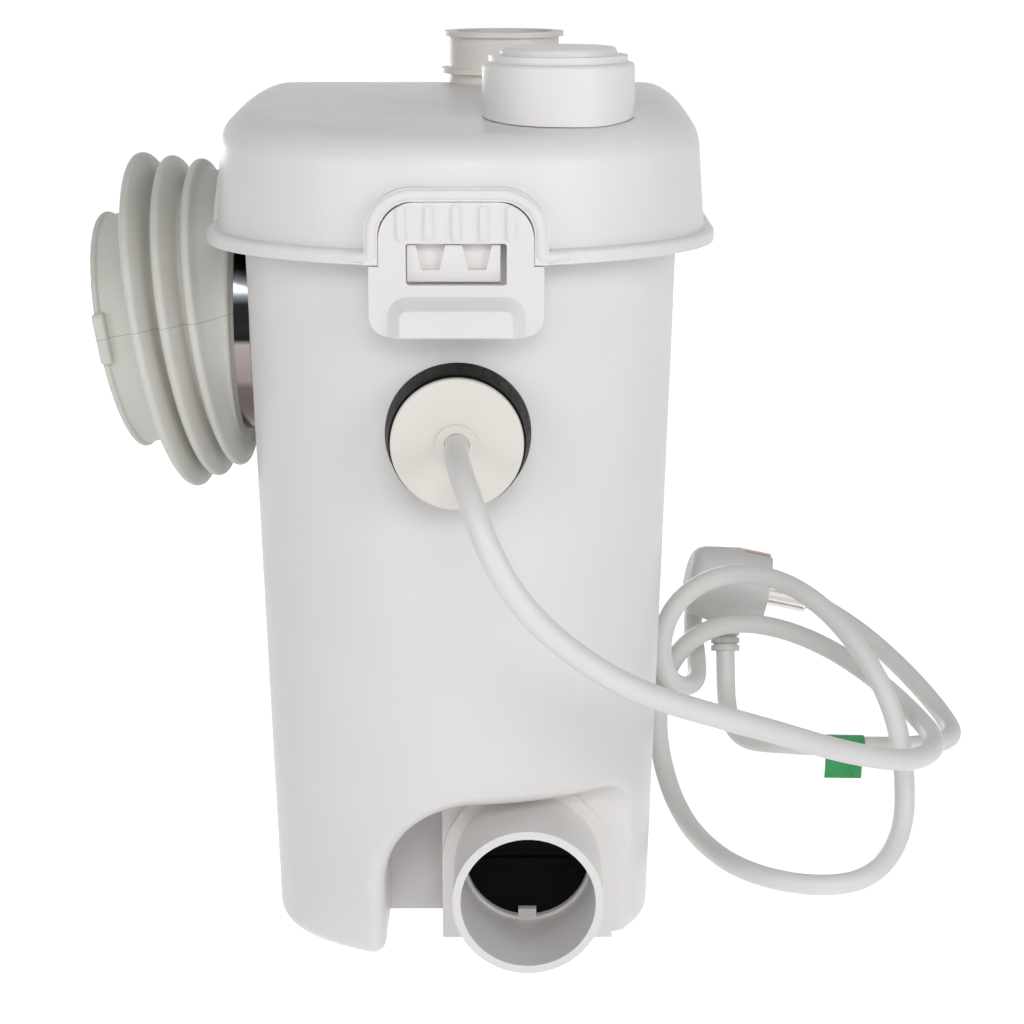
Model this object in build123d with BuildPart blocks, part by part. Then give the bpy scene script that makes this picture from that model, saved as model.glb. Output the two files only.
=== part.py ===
from build123d import *
import os
from math import atan2, cos, radians, sin, sqrt, tan

os.makedirs("parts", exist_ok=True)

# Macerator toilet pump: a tank with a lid, a rubber WC inlet on its side, a low inlet on its short end,
# a discharge sleeve on top, and the grinder, pump, motor and pressure switch inside. Millimetres.
# The origin is on the floor under the middle of the lid. +X runs to the right as the short end is faced,
# -Y points out of the end with the mains cord and the low inlet, and +Z is up.

# Plan outline of the lid's rim, which the skirt and the tank follow at named insets
rim_half_width = 95.0
rim_half_length = 145.0
corner_centre_x = 25.0
end_radius_step = 40.0
corner_radius = rim_half_width - corner_centre_x
end_radius = corner_radius + end_radius_step

# Tank
rim_height = 270.0
tank_lip_height = 24.0
tank_height = rim_height + tank_lip_height
tank_rim_inset = 14.0
draft_angle = 1.7
tank_wall = 3.5
tank_base_edge_radius = 6.0
cut_overrun = 10.0

# Lid
bead_height = 5.0
bead_edge_radius = 1.8
skirt_inset = 3.5
skirt_draft_angle = 4.0
crown_rise = 26.5
crown_height = tank_height + crown_rise
crown_radius = 1344.0
shoulder_radius = 14.0
lid_wall = 3.0
gasket_height = 3.0
gasket_side_gap = 0.3

# Latches and the catches that they hook over
notch_half_width = 27.2
notch_drop = 2.0
notch_height = tank_height - notch_drop
notch_corner_radius = 12.0
notch_bead_width = 4.8
notch_bead_inset = 3.5
notch_bead_face = rim_half_length - notch_bead_inset
latch_thickness = 3.0
latch_foot_half_width = 30.5
latch_foot_radius = 7.0
latch_side_gap = 0.2
latch_corner_relief = 1.3
latch_rim_gap = 0.5
latch_hinge_radius = 0.6
latch_hinge_height = notch_height - latch_side_gap - latch_hinge_radius
latch_taper_height = 3.0
window_width = 35.0
window_height = 14.5
window_head_drop = 13.7
window_foot_height = latch_hinge_height - window_head_drop - window_height
latch_foot_drop = 18.0
latch_foot_height = window_foot_height - latch_foot_drop
latch_rib_count = 5
latch_rib_pitch = 9.5
latch_rib_width = 2.6
latch_rib_height = 1.2
latch_rib_head_drop = 0.6
window_corner_radius = 1.0
latch_rib_foot_gap = 1.0
latch_rib_foot_height = window_foot_height + window_height + latch_rib_foot_gap
finger_tab_half_width = 24.0
finger_tab_height = 14.0
finger_tab_corner_radius = 7.0
finger_tab_reach = 6.0
finger_tab_slope = 4.3
finger_tab_edge_radius = 1.2
catch_side_gap = 2.6
catch_width = window_width - catch_side_gap
catch_offset = -0.9
catch_foot_gap = 0.9
catch_head_gap = 0.6
catch_bite = 0.8
catch_slope_height = 3.6
catch_slope_depth = 1.1
catch_pocket_width = 10.4
catch_pocket_foot_width = 6.2
catch_pocket_height = 8.8
catch_pocket_depth = 3.0

# Mains cord entry
cord_hole_drop = 37.4
cord_hole_height = latch_foot_height - cord_hole_drop
cord_hole_radius = 26.25
gland_mouth_step = 2.05
gland_mouth_radius = cord_hole_radius - gland_mouth_step
gland_side_gap = 0.1
gland_face_inset = 1.2
gland_face = rim_half_length - gland_face_inset
disc_step = 0.7
disc_radius = gland_mouth_radius - disc_step
disc_thickness = 3.0
disc_hub_radius = 7.5
disc_hub_height = 1.6
disc_gap = 0.2
cord_diameter = 8.6
cord_gap = 0.15
tail_length = 12.0

# Low inlet and the recess that it stands in
inlet_x = 25.3
inlet_height = 30.9
inlet_bore_radius = 25.2
inlet_wall = 3.05
inlet_outer_radius = inlet_bore_radius + inlet_wall
inlet_mouth_inset = 9.0
inlet_mouth = rim_half_length - inlet_mouth_inset
inlet_ledge_step = 1.2
inlet_ledge_radius = inlet_bore_radius - inlet_ledge_step
recess_depth = 50.0
recess_face = rim_half_length - recess_depth
recess_left = -29.0
recess_rise = 33.1
recess_top = inlet_height + recess_rise
recess_corner_radius = 35.0
recess_blend_radius = 9.0
recess_edge_radius = 5.0
boss_side_step = 4.75
boss_half_width = inlet_outer_radius + boss_side_step
boss_height = 2.0
pocket_depth = 26.0
pocket_face = recess_face - pocket_depth
inlet_stub = 1.5
stop_tab_width = 7.0
stop_tab_height = 4.5
stop_tab_thickness = 3.0

# Low inlet flap
flap_lap = 2.5
flap_radius = inlet_ledge_radius + flap_lap
flap_thickness = 3.0
flap_gap = 0.3
flap_pin_radius = 1.25
flap_pin_rise = 5.6
flap_pin_height = inlet_height + flap_radius + flap_pin_rise
flap_knuckle_radius = 3.2
flap_knuckle_half_width = 8.0
ear_gap = 0.4
ear_thickness = 3.5
ear_height = 10.0
ear_root = 3.0
pin_running_gap = 0.05
pin_seat_gap = 0.02

# WC inlet on the left side
wc_drop = 36.0
wc_height = rim_height - wc_drop
wc_bore_radius = 42.0
wc_spigot_wall = 4.0
wc_outer_radius = wc_bore_radius + wc_spigot_wall
wc_spigot_inset = 5.0
wc_spigot_end = rim_half_width - wc_spigot_inset
lid_arch_gap = 14.0
lid_arch_radius = wc_outer_radius + lid_arch_gap
lid_arch_bead_width = 3.5
cuff_lap = 8.0
cuff_start = wc_spigot_end - cuff_lap
cuff_length = 6.6
cuff_end = cuff_start + cuff_length
cuff_thickness = 3.2
cuff_gap = 0.1
band_width = 6.0
band_thickness = 0.8
band_gap = 0.05
band_housing_length = 14.0
band_housing_height = 7.0
band_screw_length = 20.0
band_screw_radius = 2.4
lip_rise = 7.0
lip_radius = wc_outer_radius + lip_rise
lip_gap = 1.0
lip_start = wc_spigot_end + lip_gap
lip_droop = 3.5
lip_thickness = 2.3
rubber_wall = 3.0
rib_count = 3
first_rib_gap = 8.3
rib_start = lip_start + first_rib_gap
rib_pitch = 10.6
rib_first_rise = 9.5
rib_first_radius = lip_radius + rib_first_rise
rib_radius_step = 3.25
rib_half_thickness = 3.2
rib_foot_half_thickness = 4.7
rib_bore_half_thickness = 0.9
rib_bore_foot_half_thickness = 4.2
rib_bore_drop = 3.2
valley_rise = 1.0
valley_radius = lip_radius + valley_rise
valley_wall = 2.8
valley_bore_radius = valley_radius - valley_wall
rib_first_sag = 2.7
rib_sag_step = 1.65
rib_first_droop = 7.3
rib_droop_step = 0.85
rib_yaw_step = 1.5
collar_bore_radius = 43.5
collar_wall = 3.3
collar_radius = collar_bore_radius + collar_wall
collar_length = 18.2
collar_root = 5.2
collar_bore_root = 2.6
collar_bead_step = 1.5
collar_bead_radius = collar_radius + collar_bead_step
collar_bead_width = 3.0
lug_height = 21.6
lug_width = 5.0
lug_reach = 6.0
lug_corner_radius = 2.4

# Vent cap and its carbon filter, front right on the lid
vent_x = 36.0
vent_inset = 53.0
vent_y = vent_inset - rim_half_length
vent_cap_radius = 27.5
vent_cap_wall = 2.5
vent_cap_rise = 16.2
vent_cap_side_top = crown_height + vent_cap_rise
vent_cap_step_inset = 2.5
vent_cap_step_radius = vent_cap_radius - vent_cap_step_inset
vent_cap_step_height = 2.5
vent_cap_step_top = vent_cap_side_top + vent_cap_step_height
vent_cap_dome_inset = 4.0
vent_cap_dome_radius = vent_cap_step_radius - vent_cap_dome_inset
vent_cap_dome_height = 2.8
vent_cap_top = vent_cap_step_top + vent_cap_dome_height
vent_cap_edge_radius = 1.8
vent_cap_gap = 0.3
vent_collar_gap = 0.4
vent_collar_radius = vent_cap_radius - vent_cap_wall - vent_collar_gap
vent_collar_wall = 2.2
vent_collar_rise = 9.5
vent_collar_top = crown_height + vent_collar_rise
vent_ledge_width = 4.4
vent_hole_radius = vent_collar_radius - vent_collar_wall - vent_ledge_width
filter_height = 8.0
filter_gap = 0.2

# Discharge sleeve and its check valve, on the lid
discharge_x = 15.9
shaft_inset = 87.0
shaft_y = rim_half_length - shaft_inset
discharge_step_y = 3.0
discharge_y = shaft_y - discharge_step_y
sleeve_bore_radius = 20.2
sleeve_wall = 2.8
sleeve_radius = sleeve_bore_radius + sleeve_wall
sleeve_seat_gap = 0.15
sleeve_rise = 20.5
sleeve_top = crown_height + sleeve_rise
sleeve_bead_step = 2.0
sleeve_bead_radius = sleeve_radius + sleeve_bead_step
sleeve_bead_height = 2.0
sleeve_flange_step = 3.2
sleeve_flange_radius = sleeve_radius + sleeve_flange_step
sleeve_flange_rise = 3.5
sleeve_flange_foot = crown_height + sleeve_flange_rise
sleeve_flange_height = 2.0
socket_depth = 15.0
sleeve_ledge_step = 1.6
sleeve_ledge_radius = sleeve_bore_radius - sleeve_ledge_step
socket_drop = 32.5
socket_foot = crown_height - socket_drop
valve_seat_thickness = 3.0
pipe_socket_depth = 8.0
valve_seat_height = socket_foot + pipe_socket_depth + valve_seat_thickness
valve_port_radius = 12.5
valve_flap_lap = 2.5
valve_flap_radius = valve_port_radius + valve_flap_lap
valve_flap_thickness = 2.0
valve_flap_gap = 0.3
valve_pin_radius = 1.0
valve_pin_step = 1.4
valve_pin_offset = valve_flap_radius + valve_pin_step
valve_pin_height = 1.7
valve_knuckle_radius = 1.6
valve_knuckle_half_width = 4.0
valve_ear_thickness = 1.6
valve_ear_reach = 2.0
pin_ear_gap = 0.3
seal_ring_height = 3.0
seal_ring_width = 2.5

# Motor, grinder and pump on one upright shaft
shaft_radius = 4.0
running_gap = 0.05
mount_height = 4.5
mount_radius = 7.0
mount_circle_radius = 38.0
mount_count = 3
volute_wall = 3.0
volute_foot = tank_wall + mount_height
volute_height = 32.0
volute_top = volute_foot + volute_height
volute_eye_radius = 17.0
volute_arm_width = 26.0
impeller_radius = 40.0
volute_channel_width = 10.0
volute_radius = impeller_radius + volute_channel_width + volute_wall
shaft_foot_gap = 1.0
shaft_foot = volute_foot + volute_wall + shaft_foot_gap
impeller_plate = 3.0
impeller_height = 16.0
impeller_vane_count = 5
impeller_vane_thickness = 3.0
impeller_hub_radius = 9.0
impeller_gap = 2.0
pipe_x = 46.0
pipe_step_y = 60.0
pipe_y = shaft_y - pipe_step_y
pipe_bore_radius = 9.5
pipe_wall = 2.5
pipe_radius = pipe_bore_radius + pipe_wall
pipe_socket_wall = 2.5
pipe_socket_height = 16.0
pipe_seat_gap = 0.1
pipe_over_drop = 15.0
pipe_over_height = socket_foot - pipe_over_drop
pipe_bend_drop = 19.0
pipe_bend_height = pipe_over_height - pipe_bend_drop
pipe_bend_radius = 20.0
pipe_end_gap = 1.0
pipe_top = socket_foot + pipe_socket_depth - pipe_end_gap
basket_radius = 57.0
basket_wall = 2.0
basket_foot = volute_top
basket_height = 72.0
basket_top = basket_foot + basket_height
basket_rim_height = 8.0
basket_slot_count = 18
basket_slot_width = 7.0
basket_door_slots = 4
cutter_side_gap = 3.0
cutter_length = basket_radius - 2 * basket_wall - cutter_side_gap
cutter_width = 16.0
cutter_thickness = 3.0
cutter_rise = 6.0
cutter_height = basket_foot + cutter_rise
cutter_hub_radius = 10.0
cutter_hub_height = 12.0
cutter_tip_height = 14.0
plate_lap = 1.0
plate_radius = basket_radius + plate_lap
plate_thickness = 8.0
plate_top = basket_top + plate_thickness
motor_side_step = 12.0
motor_radius = plate_radius - motor_side_step
motor_wall = 2.0
motor_height = 108.0
motor_top = plate_top + motor_height
motor_cap_height = 10.0
motor_cap_top = motor_top + motor_cap_height
motor_cap_wall = 2.5
shaft_top_drop = 2.0
shaft_top = motor_top - shaft_top_drop
stator_gap = 0.1
stator_radius = motor_radius - motor_wall - stator_gap
stator_bore_radius = 24.0
stator_rise = 26.0
stator_foot = plate_top + stator_rise
stator_height = 54.0
stator_top = stator_foot + stator_height
winding_step = 4.9
winding_radius = stator_radius - winding_step
winding_bore_step = 3.0
winding_bore_radius = stator_bore_radius + winding_bore_step
winding_height = 13.0
rotor_air_gap = 0.6
rotor_radius = stator_bore_radius - rotor_air_gap
rotor_end_gap = 2.0
bearing_radius = 11.0
bearing_height = 8.0
bearing_seat_wall = 3.0
seal_radius = 8.0
plate_screw_inset = 6.0
plate_screw_circle_radius = plate_radius - plate_screw_inset
plate_screw_count = 6
screw_radius = 2.0
screw_head_radius = 3.6
screw_head_height = 2.4
screw_seat_gap = 0.02

# Dry box with the electrical parts, behind the cord entry
box_half_width = 44.0
box_inset = 41.0
box_depth = 40.0
box_front = rim_half_length - box_inset
box_back = box_front - box_depth
box_y = -(box_front + box_back) / 2
box_height = 108.0
box_entry_drop = 50.4
box_top = cord_hole_height + box_entry_drop
box_foot = box_top - box_height
box_wall = 2.5
tail_end = box_front - tail_length
box_cover_height = 4.0
box_screw_inset = 6.0
box_boss_radius = 4.0
box_boss_height = 20.0
capacitor_radius = 15.0
capacitor_height = 62.0
capacitor_x = 24.0
terminal_length = 40.0
terminal_depth = 15.0
terminal_height = 18.0
terminal_rise = 49.0
terminal_foot = box_foot + terminal_rise
terminal_x = -16.0
terminal_way_count = 5

# Pressure switch: air bell, chamber, membrane, plunger, lever and micro switch
chamber_x = -18.0
chamber_y = box_y
chamber_radius = 25.0
chamber_height = 20.0
chamber_wall = 2.5
membrane_thickness = 1.5
membrane_drop = 12.0
membrane_foot = box_foot - membrane_drop
bell_step = 15.0
bell_x = chamber_x - bell_step
bell_bore_radius = 4.0
bell_wall = 2.0
bell_radius = bell_bore_radius + bell_wall
bell_mouth_radius = 12.0
bell_neck_height = 14.0
bell_mouth_top = box_foot - chamber_height - bell_neck_height
bell_height = 40.0
bell_foot = bell_mouth_top - bell_height
plunger_radius = 3.0
plunger_plate_radius = 12.0
plunger_plate_height = 2.0
plunger_rise = 10.0
plunger_top = box_foot + plunger_rise
plunger_travel = 2.5
plunger_gap = 0.3
lever_gap = 0.3
lever_thickness = 1.2
lever_length = 26.0
lever_width = 6.0
lever_pin_radius = 0.8
switch_length = 30.0
switch_depth = 10.0
switch_height = 16.0
switch_rise = 18.0
switch_foot = box_foot + switch_rise
switch_pin_offset = 14.0

# Mains cord, through the corners of its run from the gland to the plug
cord_bend_share = 0.45
cord_points = [
    (0, -148.6, 207.6), (0, -163, 207.6), (2, -178, 204.5), (6, -190, 196), (11, -197, 184),
    (18, -199, 170.5), (28, -196, 157), (41, -190, 144), (56, -183, 132), (73, -173, 122),
    (94, -161, 112), (115, -145, 101), (137, -122, 87), (160, -92, 72), (182, -59, 59),
    (197, -24, 54), (190, 8, 58), (176, 32, 66), (158, 50, 74), (138, 62, 79), (118, 67, 80),
    (101, 68, 73), (90, 67, 60), (85, 63, 44), (85, 53, 27), (89, 36, 12), (95, 12, 5),
    (102, -14, 4.5), (112, -36, 4.5), (127, -51, 4.5), (145, -57, 4.5), (162, -53, 5), (175, -40, 9),
    (183, -27, 20), (184, -18, 36), (182, -14, 54), (176, -7, 72), (165, 6, 89), (151, 21, 102),
    (135, 34, 109), (117, 42, 110), (101, 45, 104), (89, 43, 93), (84, 39, 78), (87, 40, 63),
    (95, 50, 54), (103, 66, 52), (104, 84, 58), (103, 101, 67), (105, 116, 76), (112, 128, 83),
    (126, 134, 85), (144, 131, 81), (163, 121, 73), (180, 107, 65), (195, 90, 55), (207, 71, 45),
    (214, 53, 38), (214, 36, 37), (206, 23, 38), (192, 17, 38.5), (177, 15, 39), (149, 14, 39.8),
    (134, 22, 38), (124, 36, 34), (119, 53, 33), (117, 69, 38), (117, 79, 48), (117, 84, 61),
]

# Mains plug with its strain relief, pins and earth contacts, and the tag on the cord
plug_radius = 18.5
plug_face_depth = 15.0
plug_back_radius = 15.0
plug_length = 36.0
plug_back_edge_radius = 7.0
plug_tilt_angle = 12.0
relief_core_radius = 5.4
relief_rib_rise = 1.1
relief_radius = relief_core_radius + relief_rib_rise
relief_length = 30.0
relief_rib_count = 7
relief_rib_width = 2.4
relief_rib_pitch = 3.5
pin_radius = 2.4
pin_length = 19.0
pin_pitch = 19.0
pin_seat_depth = 8.0
earth_groove_width = 6.5
earth_groove_depth = 2.0
earth_strip_width = 5.0
earth_strip_length = 12.0
earth_strip_thickness = 0.8
tag_length = 16.0
tag_drop = 10.0
tag_gap = 0.1
tag_thickness = 0.6
tag_corner_count = 61

# Lead from the dry box to the motor
lead_diameter = 7.0
lead_points = [
    (-20, -64, 228), (-20, -52, 228), (-18, -40, 233), (-14, -28, 244), (-11, -12, 254),
    (-9, 6, 259), (-8, 22, 260), (-7.5, 34, 252), (-7.5, 34, 238),
]

# Rubber pads let into the underside
pad_radius = 9.0
pad_depth = 2.0
pad_gap = 0.1
pad_x = 48.0
pad_inset = 57.0
pad_y = rim_half_length - pad_inset
pad_front_inset = 61.0
pad_front_y = rim_half_length - pad_front_inset
pad_right_y = 40.0


# Shared shapes
def front(depth):
    """Upright plane that faces the short end with the cord, this far in front of the middle."""
    return Plane.XZ.offset(depth)


def rear(depth):
    """Upright plane that faces the other short end, this far behind the middle."""
    return Plane((0, depth, 0), x_dir=(-1, 0, 0), z_dir=(0, 1, 0))


def left(depth):
    """Upright plane that faces the WC side, this far left of the middle."""
    return Plane((-depth, 0, 0), x_dir=(0, -1, 0), z_dir=(-1, 0, 0))


def plan(height, inset):
    """Closed plan outline at a height: two sides, four corner arcs and two end arcs."""
    corner_x = rim_half_width - corner_radius
    end_y = rim_half_length - end_radius
    reach = end_radius - corner_radius
    corner_y = end_y + sqrt(reach**2 - corner_x**2)
    turn = atan2(corner_y - end_y, corner_x)
    side = rim_half_width - inset
    small = corner_radius - inset
    large = end_radius - inset
    join_x = large * cos(turn)
    join_y = end_y + large * sin(turn)
    mid_x = corner_x + small * cos(turn / 2)
    mid_y = corner_y + small * sin(turn / 2)
    with BuildSketch(Plane.XY.offset(height)) as face:
        with BuildLine():
            Line((side, -corner_y), (side, corner_y))
            ThreePointArc((side, corner_y), (mid_x, mid_y), (join_x, join_y))
            ThreePointArc((join_x, join_y), (0, end_y + large), (-join_x, join_y))
            ThreePointArc((-join_x, join_y), (-mid_x, mid_y), (-side, corner_y))
            Line((-side, corner_y), (-side, -corner_y))
            ThreePointArc((-side, -corner_y), (-mid_x, -mid_y), (-join_x, -join_y))
            ThreePointArc((-join_x, -join_y), (0, -end_y - large), (join_x, -join_y))
            ThreePointArc((join_x, -join_y), (mid_x, -mid_y), (side, -corner_y))
        make_face()
    return face.sketch


def tank_inset(height):
    """Inset of the tank's outer wall from the rim outline, with its draft."""
    return tank_rim_inset + (rim_height - height) * tan(radians(draft_angle))


def post(x, y, foot, top, radius, mode=Mode.ADD):
    """Upright cylinder between two heights."""
    with BuildSketch(Plane.XY.offset(foot)) as face:
        with Locations((x, y)):
            Circle(radius)
    extrude(face.sketch, amount=top - foot, mode=mode)


def block(x, y, foot, width, depth, height, mode=Mode.ADD):
    """Upright block centred on a place, standing on a height."""
    with BuildSketch(Plane.XY.offset(foot)) as face:
        with Locations((x, y)):
            Rectangle(width, depth)
    extrude(face.sketch, amount=height, mode=mode)


def bar(plane, x, y, radius, length, mode=Mode.ADD):
    """Cylinder that stands on a plane."""
    with BuildSketch(plane) as face:
        with Locations((x, y)):
            Circle(radius)
    extrude(face.sketch, amount=length, mode=mode)


def save(part, label):
    """Label a finished piece and write it."""
    part.label = label
    export_step(part, f"parts/{label}.step")
    print(label, part.is_valid, len(part.solids()))


# Tank: drafted shell, recess and spigot of the low inlet, spigot of the WC inlet, cord hole
def recess(grow):
    """Space in front of the low inlet, or that space with the tank's wall round it."""
    edge = recess_left - grow
    top = recess_top + grow
    corner = recess_corner_radius + grow
    boss_left = inlet_x - boss_half_width + grow
    right = rim_half_width + cut_overrun
    lift = top - corner + sqrt(corner**2 - (edge + corner - boss_left) ** 2)
    with BuildPart(mode=Mode.PRIVATE) as space:
        with BuildSketch(front(recess_face - grow)):
            with BuildLine():
                RadiusArc((edge, top - corner), (edge + corner, top), corner)
                Polyline((edge + corner, top), (right, top), (right, -cut_overrun))
                Polyline((right, -cut_overrun), (edge, -cut_overrun), (edge, top - corner))
            make_face()
        extrude(amount=rim_half_length)
        back = space.faces().sort_by(Axis.Y)[-1]
        ceiling = back.edges().filter_by(lambda edge: edge.center().Z > inlet_height)
        fillet(ceiling.filter_by(lambda edge: edge.center().X < rim_half_width), recess_blend_radius + grow)
        with BuildSketch(front(pocket_face - grow)):
            with BuildLine():
                RadiusArc((edge, top - corner), (boss_left, lift), corner)
                Polyline((boss_left, lift), (boss_left, -cut_overrun), (edge, -cut_overrun))
                Line((edge, -cut_overrun), (edge, top - corner))
            make_face()
        extrude(amount=rim_half_length)
    return space.part


recess_space = recess(0)
recess_walled = recess(tank_wall)
inner_face = recess_face - tank_wall
wc_root = rim_half_width - tank_inset(wc_height - wc_outer_radius) - tank_wall
wc_centre = (0, wc_height)
pad_places = ((-pad_x, pad_y), (pad_x, pad_y), (-pad_x, -pad_front_y), (pad_x, -pad_right_y))

with BuildPart() as tank_space:
    loft([plan(tank_wall, tank_inset(0) + tank_wall), plan(tank_height + cut_overrun,
         tank_inset(tank_height + cut_overrun) + tank_wall)], ruled=True)
    add(recess_walled, mode=Mode.SUBTRACT)

with BuildPart() as tank:
    loft([plan(0, tank_inset(0)), plan(tank_height, tank_inset(tank_height))], ruled=True)
    fillet(tank.edges().group_by(Axis.Z)[0], tank_base_edge_radius)
    tank_block = tank.part
    outline_edges = tank.edges()
    add(recess_space, mode=Mode.SUBTRACT)
    mouth = (tank.edges() - outline_edges).filter_by(GeomType.LINE, reverse=True)
    mouth = mouth.filter_by(lambda edge: edge.center().Y < -recess_face - recess_blend_radius - boss_height)
    mouth = mouth.filter_by(lambda edge: tank_base_edge_radius < edge.center().Z <= recess_top)
    fillet(mouth, recess_edge_radius)
    add(tank_space.part, mode=Mode.SUBTRACT)
    with BuildSketch(front(recess_face)):
        with Locations((inlet_x, inlet_height)):
            Circle(boss_half_width)
        with Locations((inlet_x, inlet_height / 2)):
            Rectangle(2 * boss_half_width, inlet_height)
        with Locations((inlet_x, -boss_half_width)):
            Rectangle(2 * rim_half_width, 2 * boss_half_width, mode=Mode.SUBTRACT)
    extrude(amount=boss_height)
    bar(front(inner_face - inlet_stub), inlet_x, inlet_height, inlet_outer_radius,
        inlet_mouth - inner_face + inlet_stub)
    bar(front(inner_face - inlet_stub), inlet_x, inlet_height, inlet_ledge_radius,
        stop_tab_thickness, Mode.SUBTRACT)
    pipe_stop = inner_face - inlet_stub + stop_tab_thickness
    bar(front(pipe_stop), inlet_x, inlet_height, inlet_bore_radius, inlet_mouth - pipe_stop,
        Mode.SUBTRACT)
    with BuildSketch(front(inner_face - inlet_stub)):
        with Locations((inlet_x, inlet_height - inlet_bore_radius)):
            Rectangle(stop_tab_width, 2 * stop_tab_height)
        with Locations((inlet_x, inlet_height)):
            Circle(inlet_bore_radius, mode=Mode.INTERSECT)
    extrude(amount=stop_tab_thickness)
    with BuildSketch(front(inner_face + ear_root)):
        ear_x = flap_knuckle_half_width + ear_gap + ear_thickness / 2
        with Locations((inlet_x - ear_x, flap_pin_height), (inlet_x + ear_x, flap_pin_height)):
            Rectangle(ear_thickness, ear_height)
    extrude(amount=-(ear_root + inlet_stub + flap_gap + flap_thickness + flap_knuckle_radius))
    flap_pin_depth = inner_face - inlet_stub - flap_gap - flap_thickness / 2
    with BuildSketch(Plane.YZ.offset(inlet_x - ear_x - ear_thickness)):
        with Locations((-flap_pin_depth, flap_pin_height)):
            Circle(flap_pin_radius + pin_seat_gap)
    extrude(amount=2 * (ear_x + ear_thickness), mode=Mode.SUBTRACT)
    bar(left(wc_root), *wc_centre, wc_outer_radius, wc_spigot_end - wc_root)
    bar(left(wc_root - cut_overrun), *wc_centre, wc_bore_radius, wc_spigot_end, Mode.SUBTRACT)
    bar(front(box_front), 0, cord_hole_height, cord_hole_radius, rim_half_length, Mode.SUBTRACT)
    for x, y in pad_places:
        post(x, y, 0, pad_depth, pad_radius, Mode.SUBTRACT)
save(tank.part, "tank")


# Feet: rubber pads let into the underside
with BuildPart() as base_pads:
    for x, y in pad_places:
        post(x, y, 0, pad_depth, pad_radius - pad_gap)
save(base_pads.part, "base_pads")


# Lid: skirt with a bead, crowned top, arch over the WC inlet and a notch for each latch
def skirt_at(height):
    """Inset of the skirt's outer face from the rim outline, with its draft."""
    return skirt_inset + (height - rim_height) * tan(radians(skirt_draft_angle))


def lid_block(foot, shrink, shoulder):
    """Skirt and crown as one solid, or that solid shrunk by the lid's wall."""
    top = crown_height + cut_overrun
    radius = crown_radius - shrink
    centre = crown_height - crown_radius
    reach = rim_half_length + cut_overrun
    drop = centre + sqrt(radius**2 - reach**2)
    width = rim_half_width + cut_overrun
    with BuildPart(mode=Mode.PRIVATE) as shape:
        loft([plan(foot, skirt_at(foot) + shrink), plan(top, skirt_at(top) + shrink)], ruled=True)
        with BuildSketch(Plane.YZ.offset(-width)):
            with BuildLine():
                ThreePointArc((-reach, drop), (0, centre + radius), (reach, drop))
                Polyline((reach, drop), (reach, 0), (-reach, 0), (-reach, drop))
            make_face()
        extrude(amount=2 * width, mode=Mode.INTERSECT)
        fillet(shape.faces().sort_by(Axis.Z)[-1].edges(), shoulder)
    return shape.part


def notch(plane, half_width, top, foot, corner):
    """Upright notch outline with rounded upper corners, drawn on a plane."""
    with BuildSketch(plane) as face:
        with BuildLine():
            Line((-half_width, foot), (-half_width, top - corner))
            RadiusArc((-half_width, top - corner), (corner - half_width, top), corner)
            Line((corner - half_width, top), (half_width - corner, top))
            RadiusArc((half_width - corner, top), (half_width, top - corner), corner)
            Line((half_width, top - corner), (half_width, foot))
            Line((half_width, foot), (-half_width, foot))
        make_face()
    return face.sketch


notch_foot = rim_height - cut_overrun
gasket_top = tank_height + gasket_height
gasket_outer = tank_inset(tank_height)
rib_outer_inset = gasket_outer + gasket_side_gap
rib_inner_inset = gasket_outer + tank_wall - gasket_side_gap

lid_under = lid_block(rim_height - cut_overrun, lid_wall, shoulder_radius - lid_wall)

with BuildPart() as lid_rib:
    extrude(plan(gasket_top, rib_outer_inset), amount=crown_height - gasket_top)
    extrude(plan(gasket_top, rib_inner_inset), amount=crown_height - gasket_top, mode=Mode.SUBTRACT)

with BuildPart() as lid_space:
    add(lid_under)
    add(lid_rib.part, mode=Mode.SUBTRACT)

with BuildPart() as lid_bead:
    extrude(plan(rim_height, 0), amount=bead_height)
    fillet(lid_bead.faces().sort_by(Axis.Z)[-1].edges(), bead_edge_radius)

with BuildPart() as vent_collar:
    post(vent_x, vent_y, gasket_top, vent_collar_top, vent_collar_radius)
    post(vent_x, vent_y, gasket_top, vent_collar_top, vent_collar_radius - vent_collar_wall,
         Mode.SUBTRACT)
    add(lid_under, mode=Mode.SUBTRACT)

with BuildPart() as lid_solid:
    add(lid_block(rim_height, 0, shoulder_radius))
    add(lid_bead.part)
    for plane in (front(0), rear(0)):
        extrude(notch(plane, notch_half_width + notch_bead_width, notch_height + notch_bead_width,
                      rim_height, notch_corner_radius + notch_bead_width), amount=notch_bead_face)

with BuildPart() as lid:
    add(lid_solid.part)
    with BuildSketch(left(0)):
        with Locations(wc_centre):
            Circle(lid_arch_radius + lid_arch_bead_width)
        with Locations((0, rim_height - lid_arch_radius)):
            Rectangle(4 * lid_arch_radius, 2 * lid_arch_radius, mode=Mode.SUBTRACT)
    extrude(amount=rim_half_width)
    add(lid_space.part, mode=Mode.SUBTRACT)
    with BuildSketch(left(0)):
        with Locations(wc_centre):
            Circle(lid_arch_radius)
    extrude(amount=rim_half_width + cut_overrun, mode=Mode.SUBTRACT)
    for plane in (front(0), rear(0)):
        extrude(notch(plane, notch_half_width, notch_height, notch_foot, notch_corner_radius),
                amount=rim_half_length + cut_overrun, mode=Mode.SUBTRACT)
    add(vent_collar.part)
    post(vent_x, vent_y, gasket_top, crown_height + cut_overrun, vent_hole_radius, Mode.SUBTRACT)
    post(discharge_x, discharge_y, gasket_top, crown_height + cut_overrun,
         sleeve_radius + sleeve_seat_gap, Mode.SUBTRACT)
save(lid.part, "lid")


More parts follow.
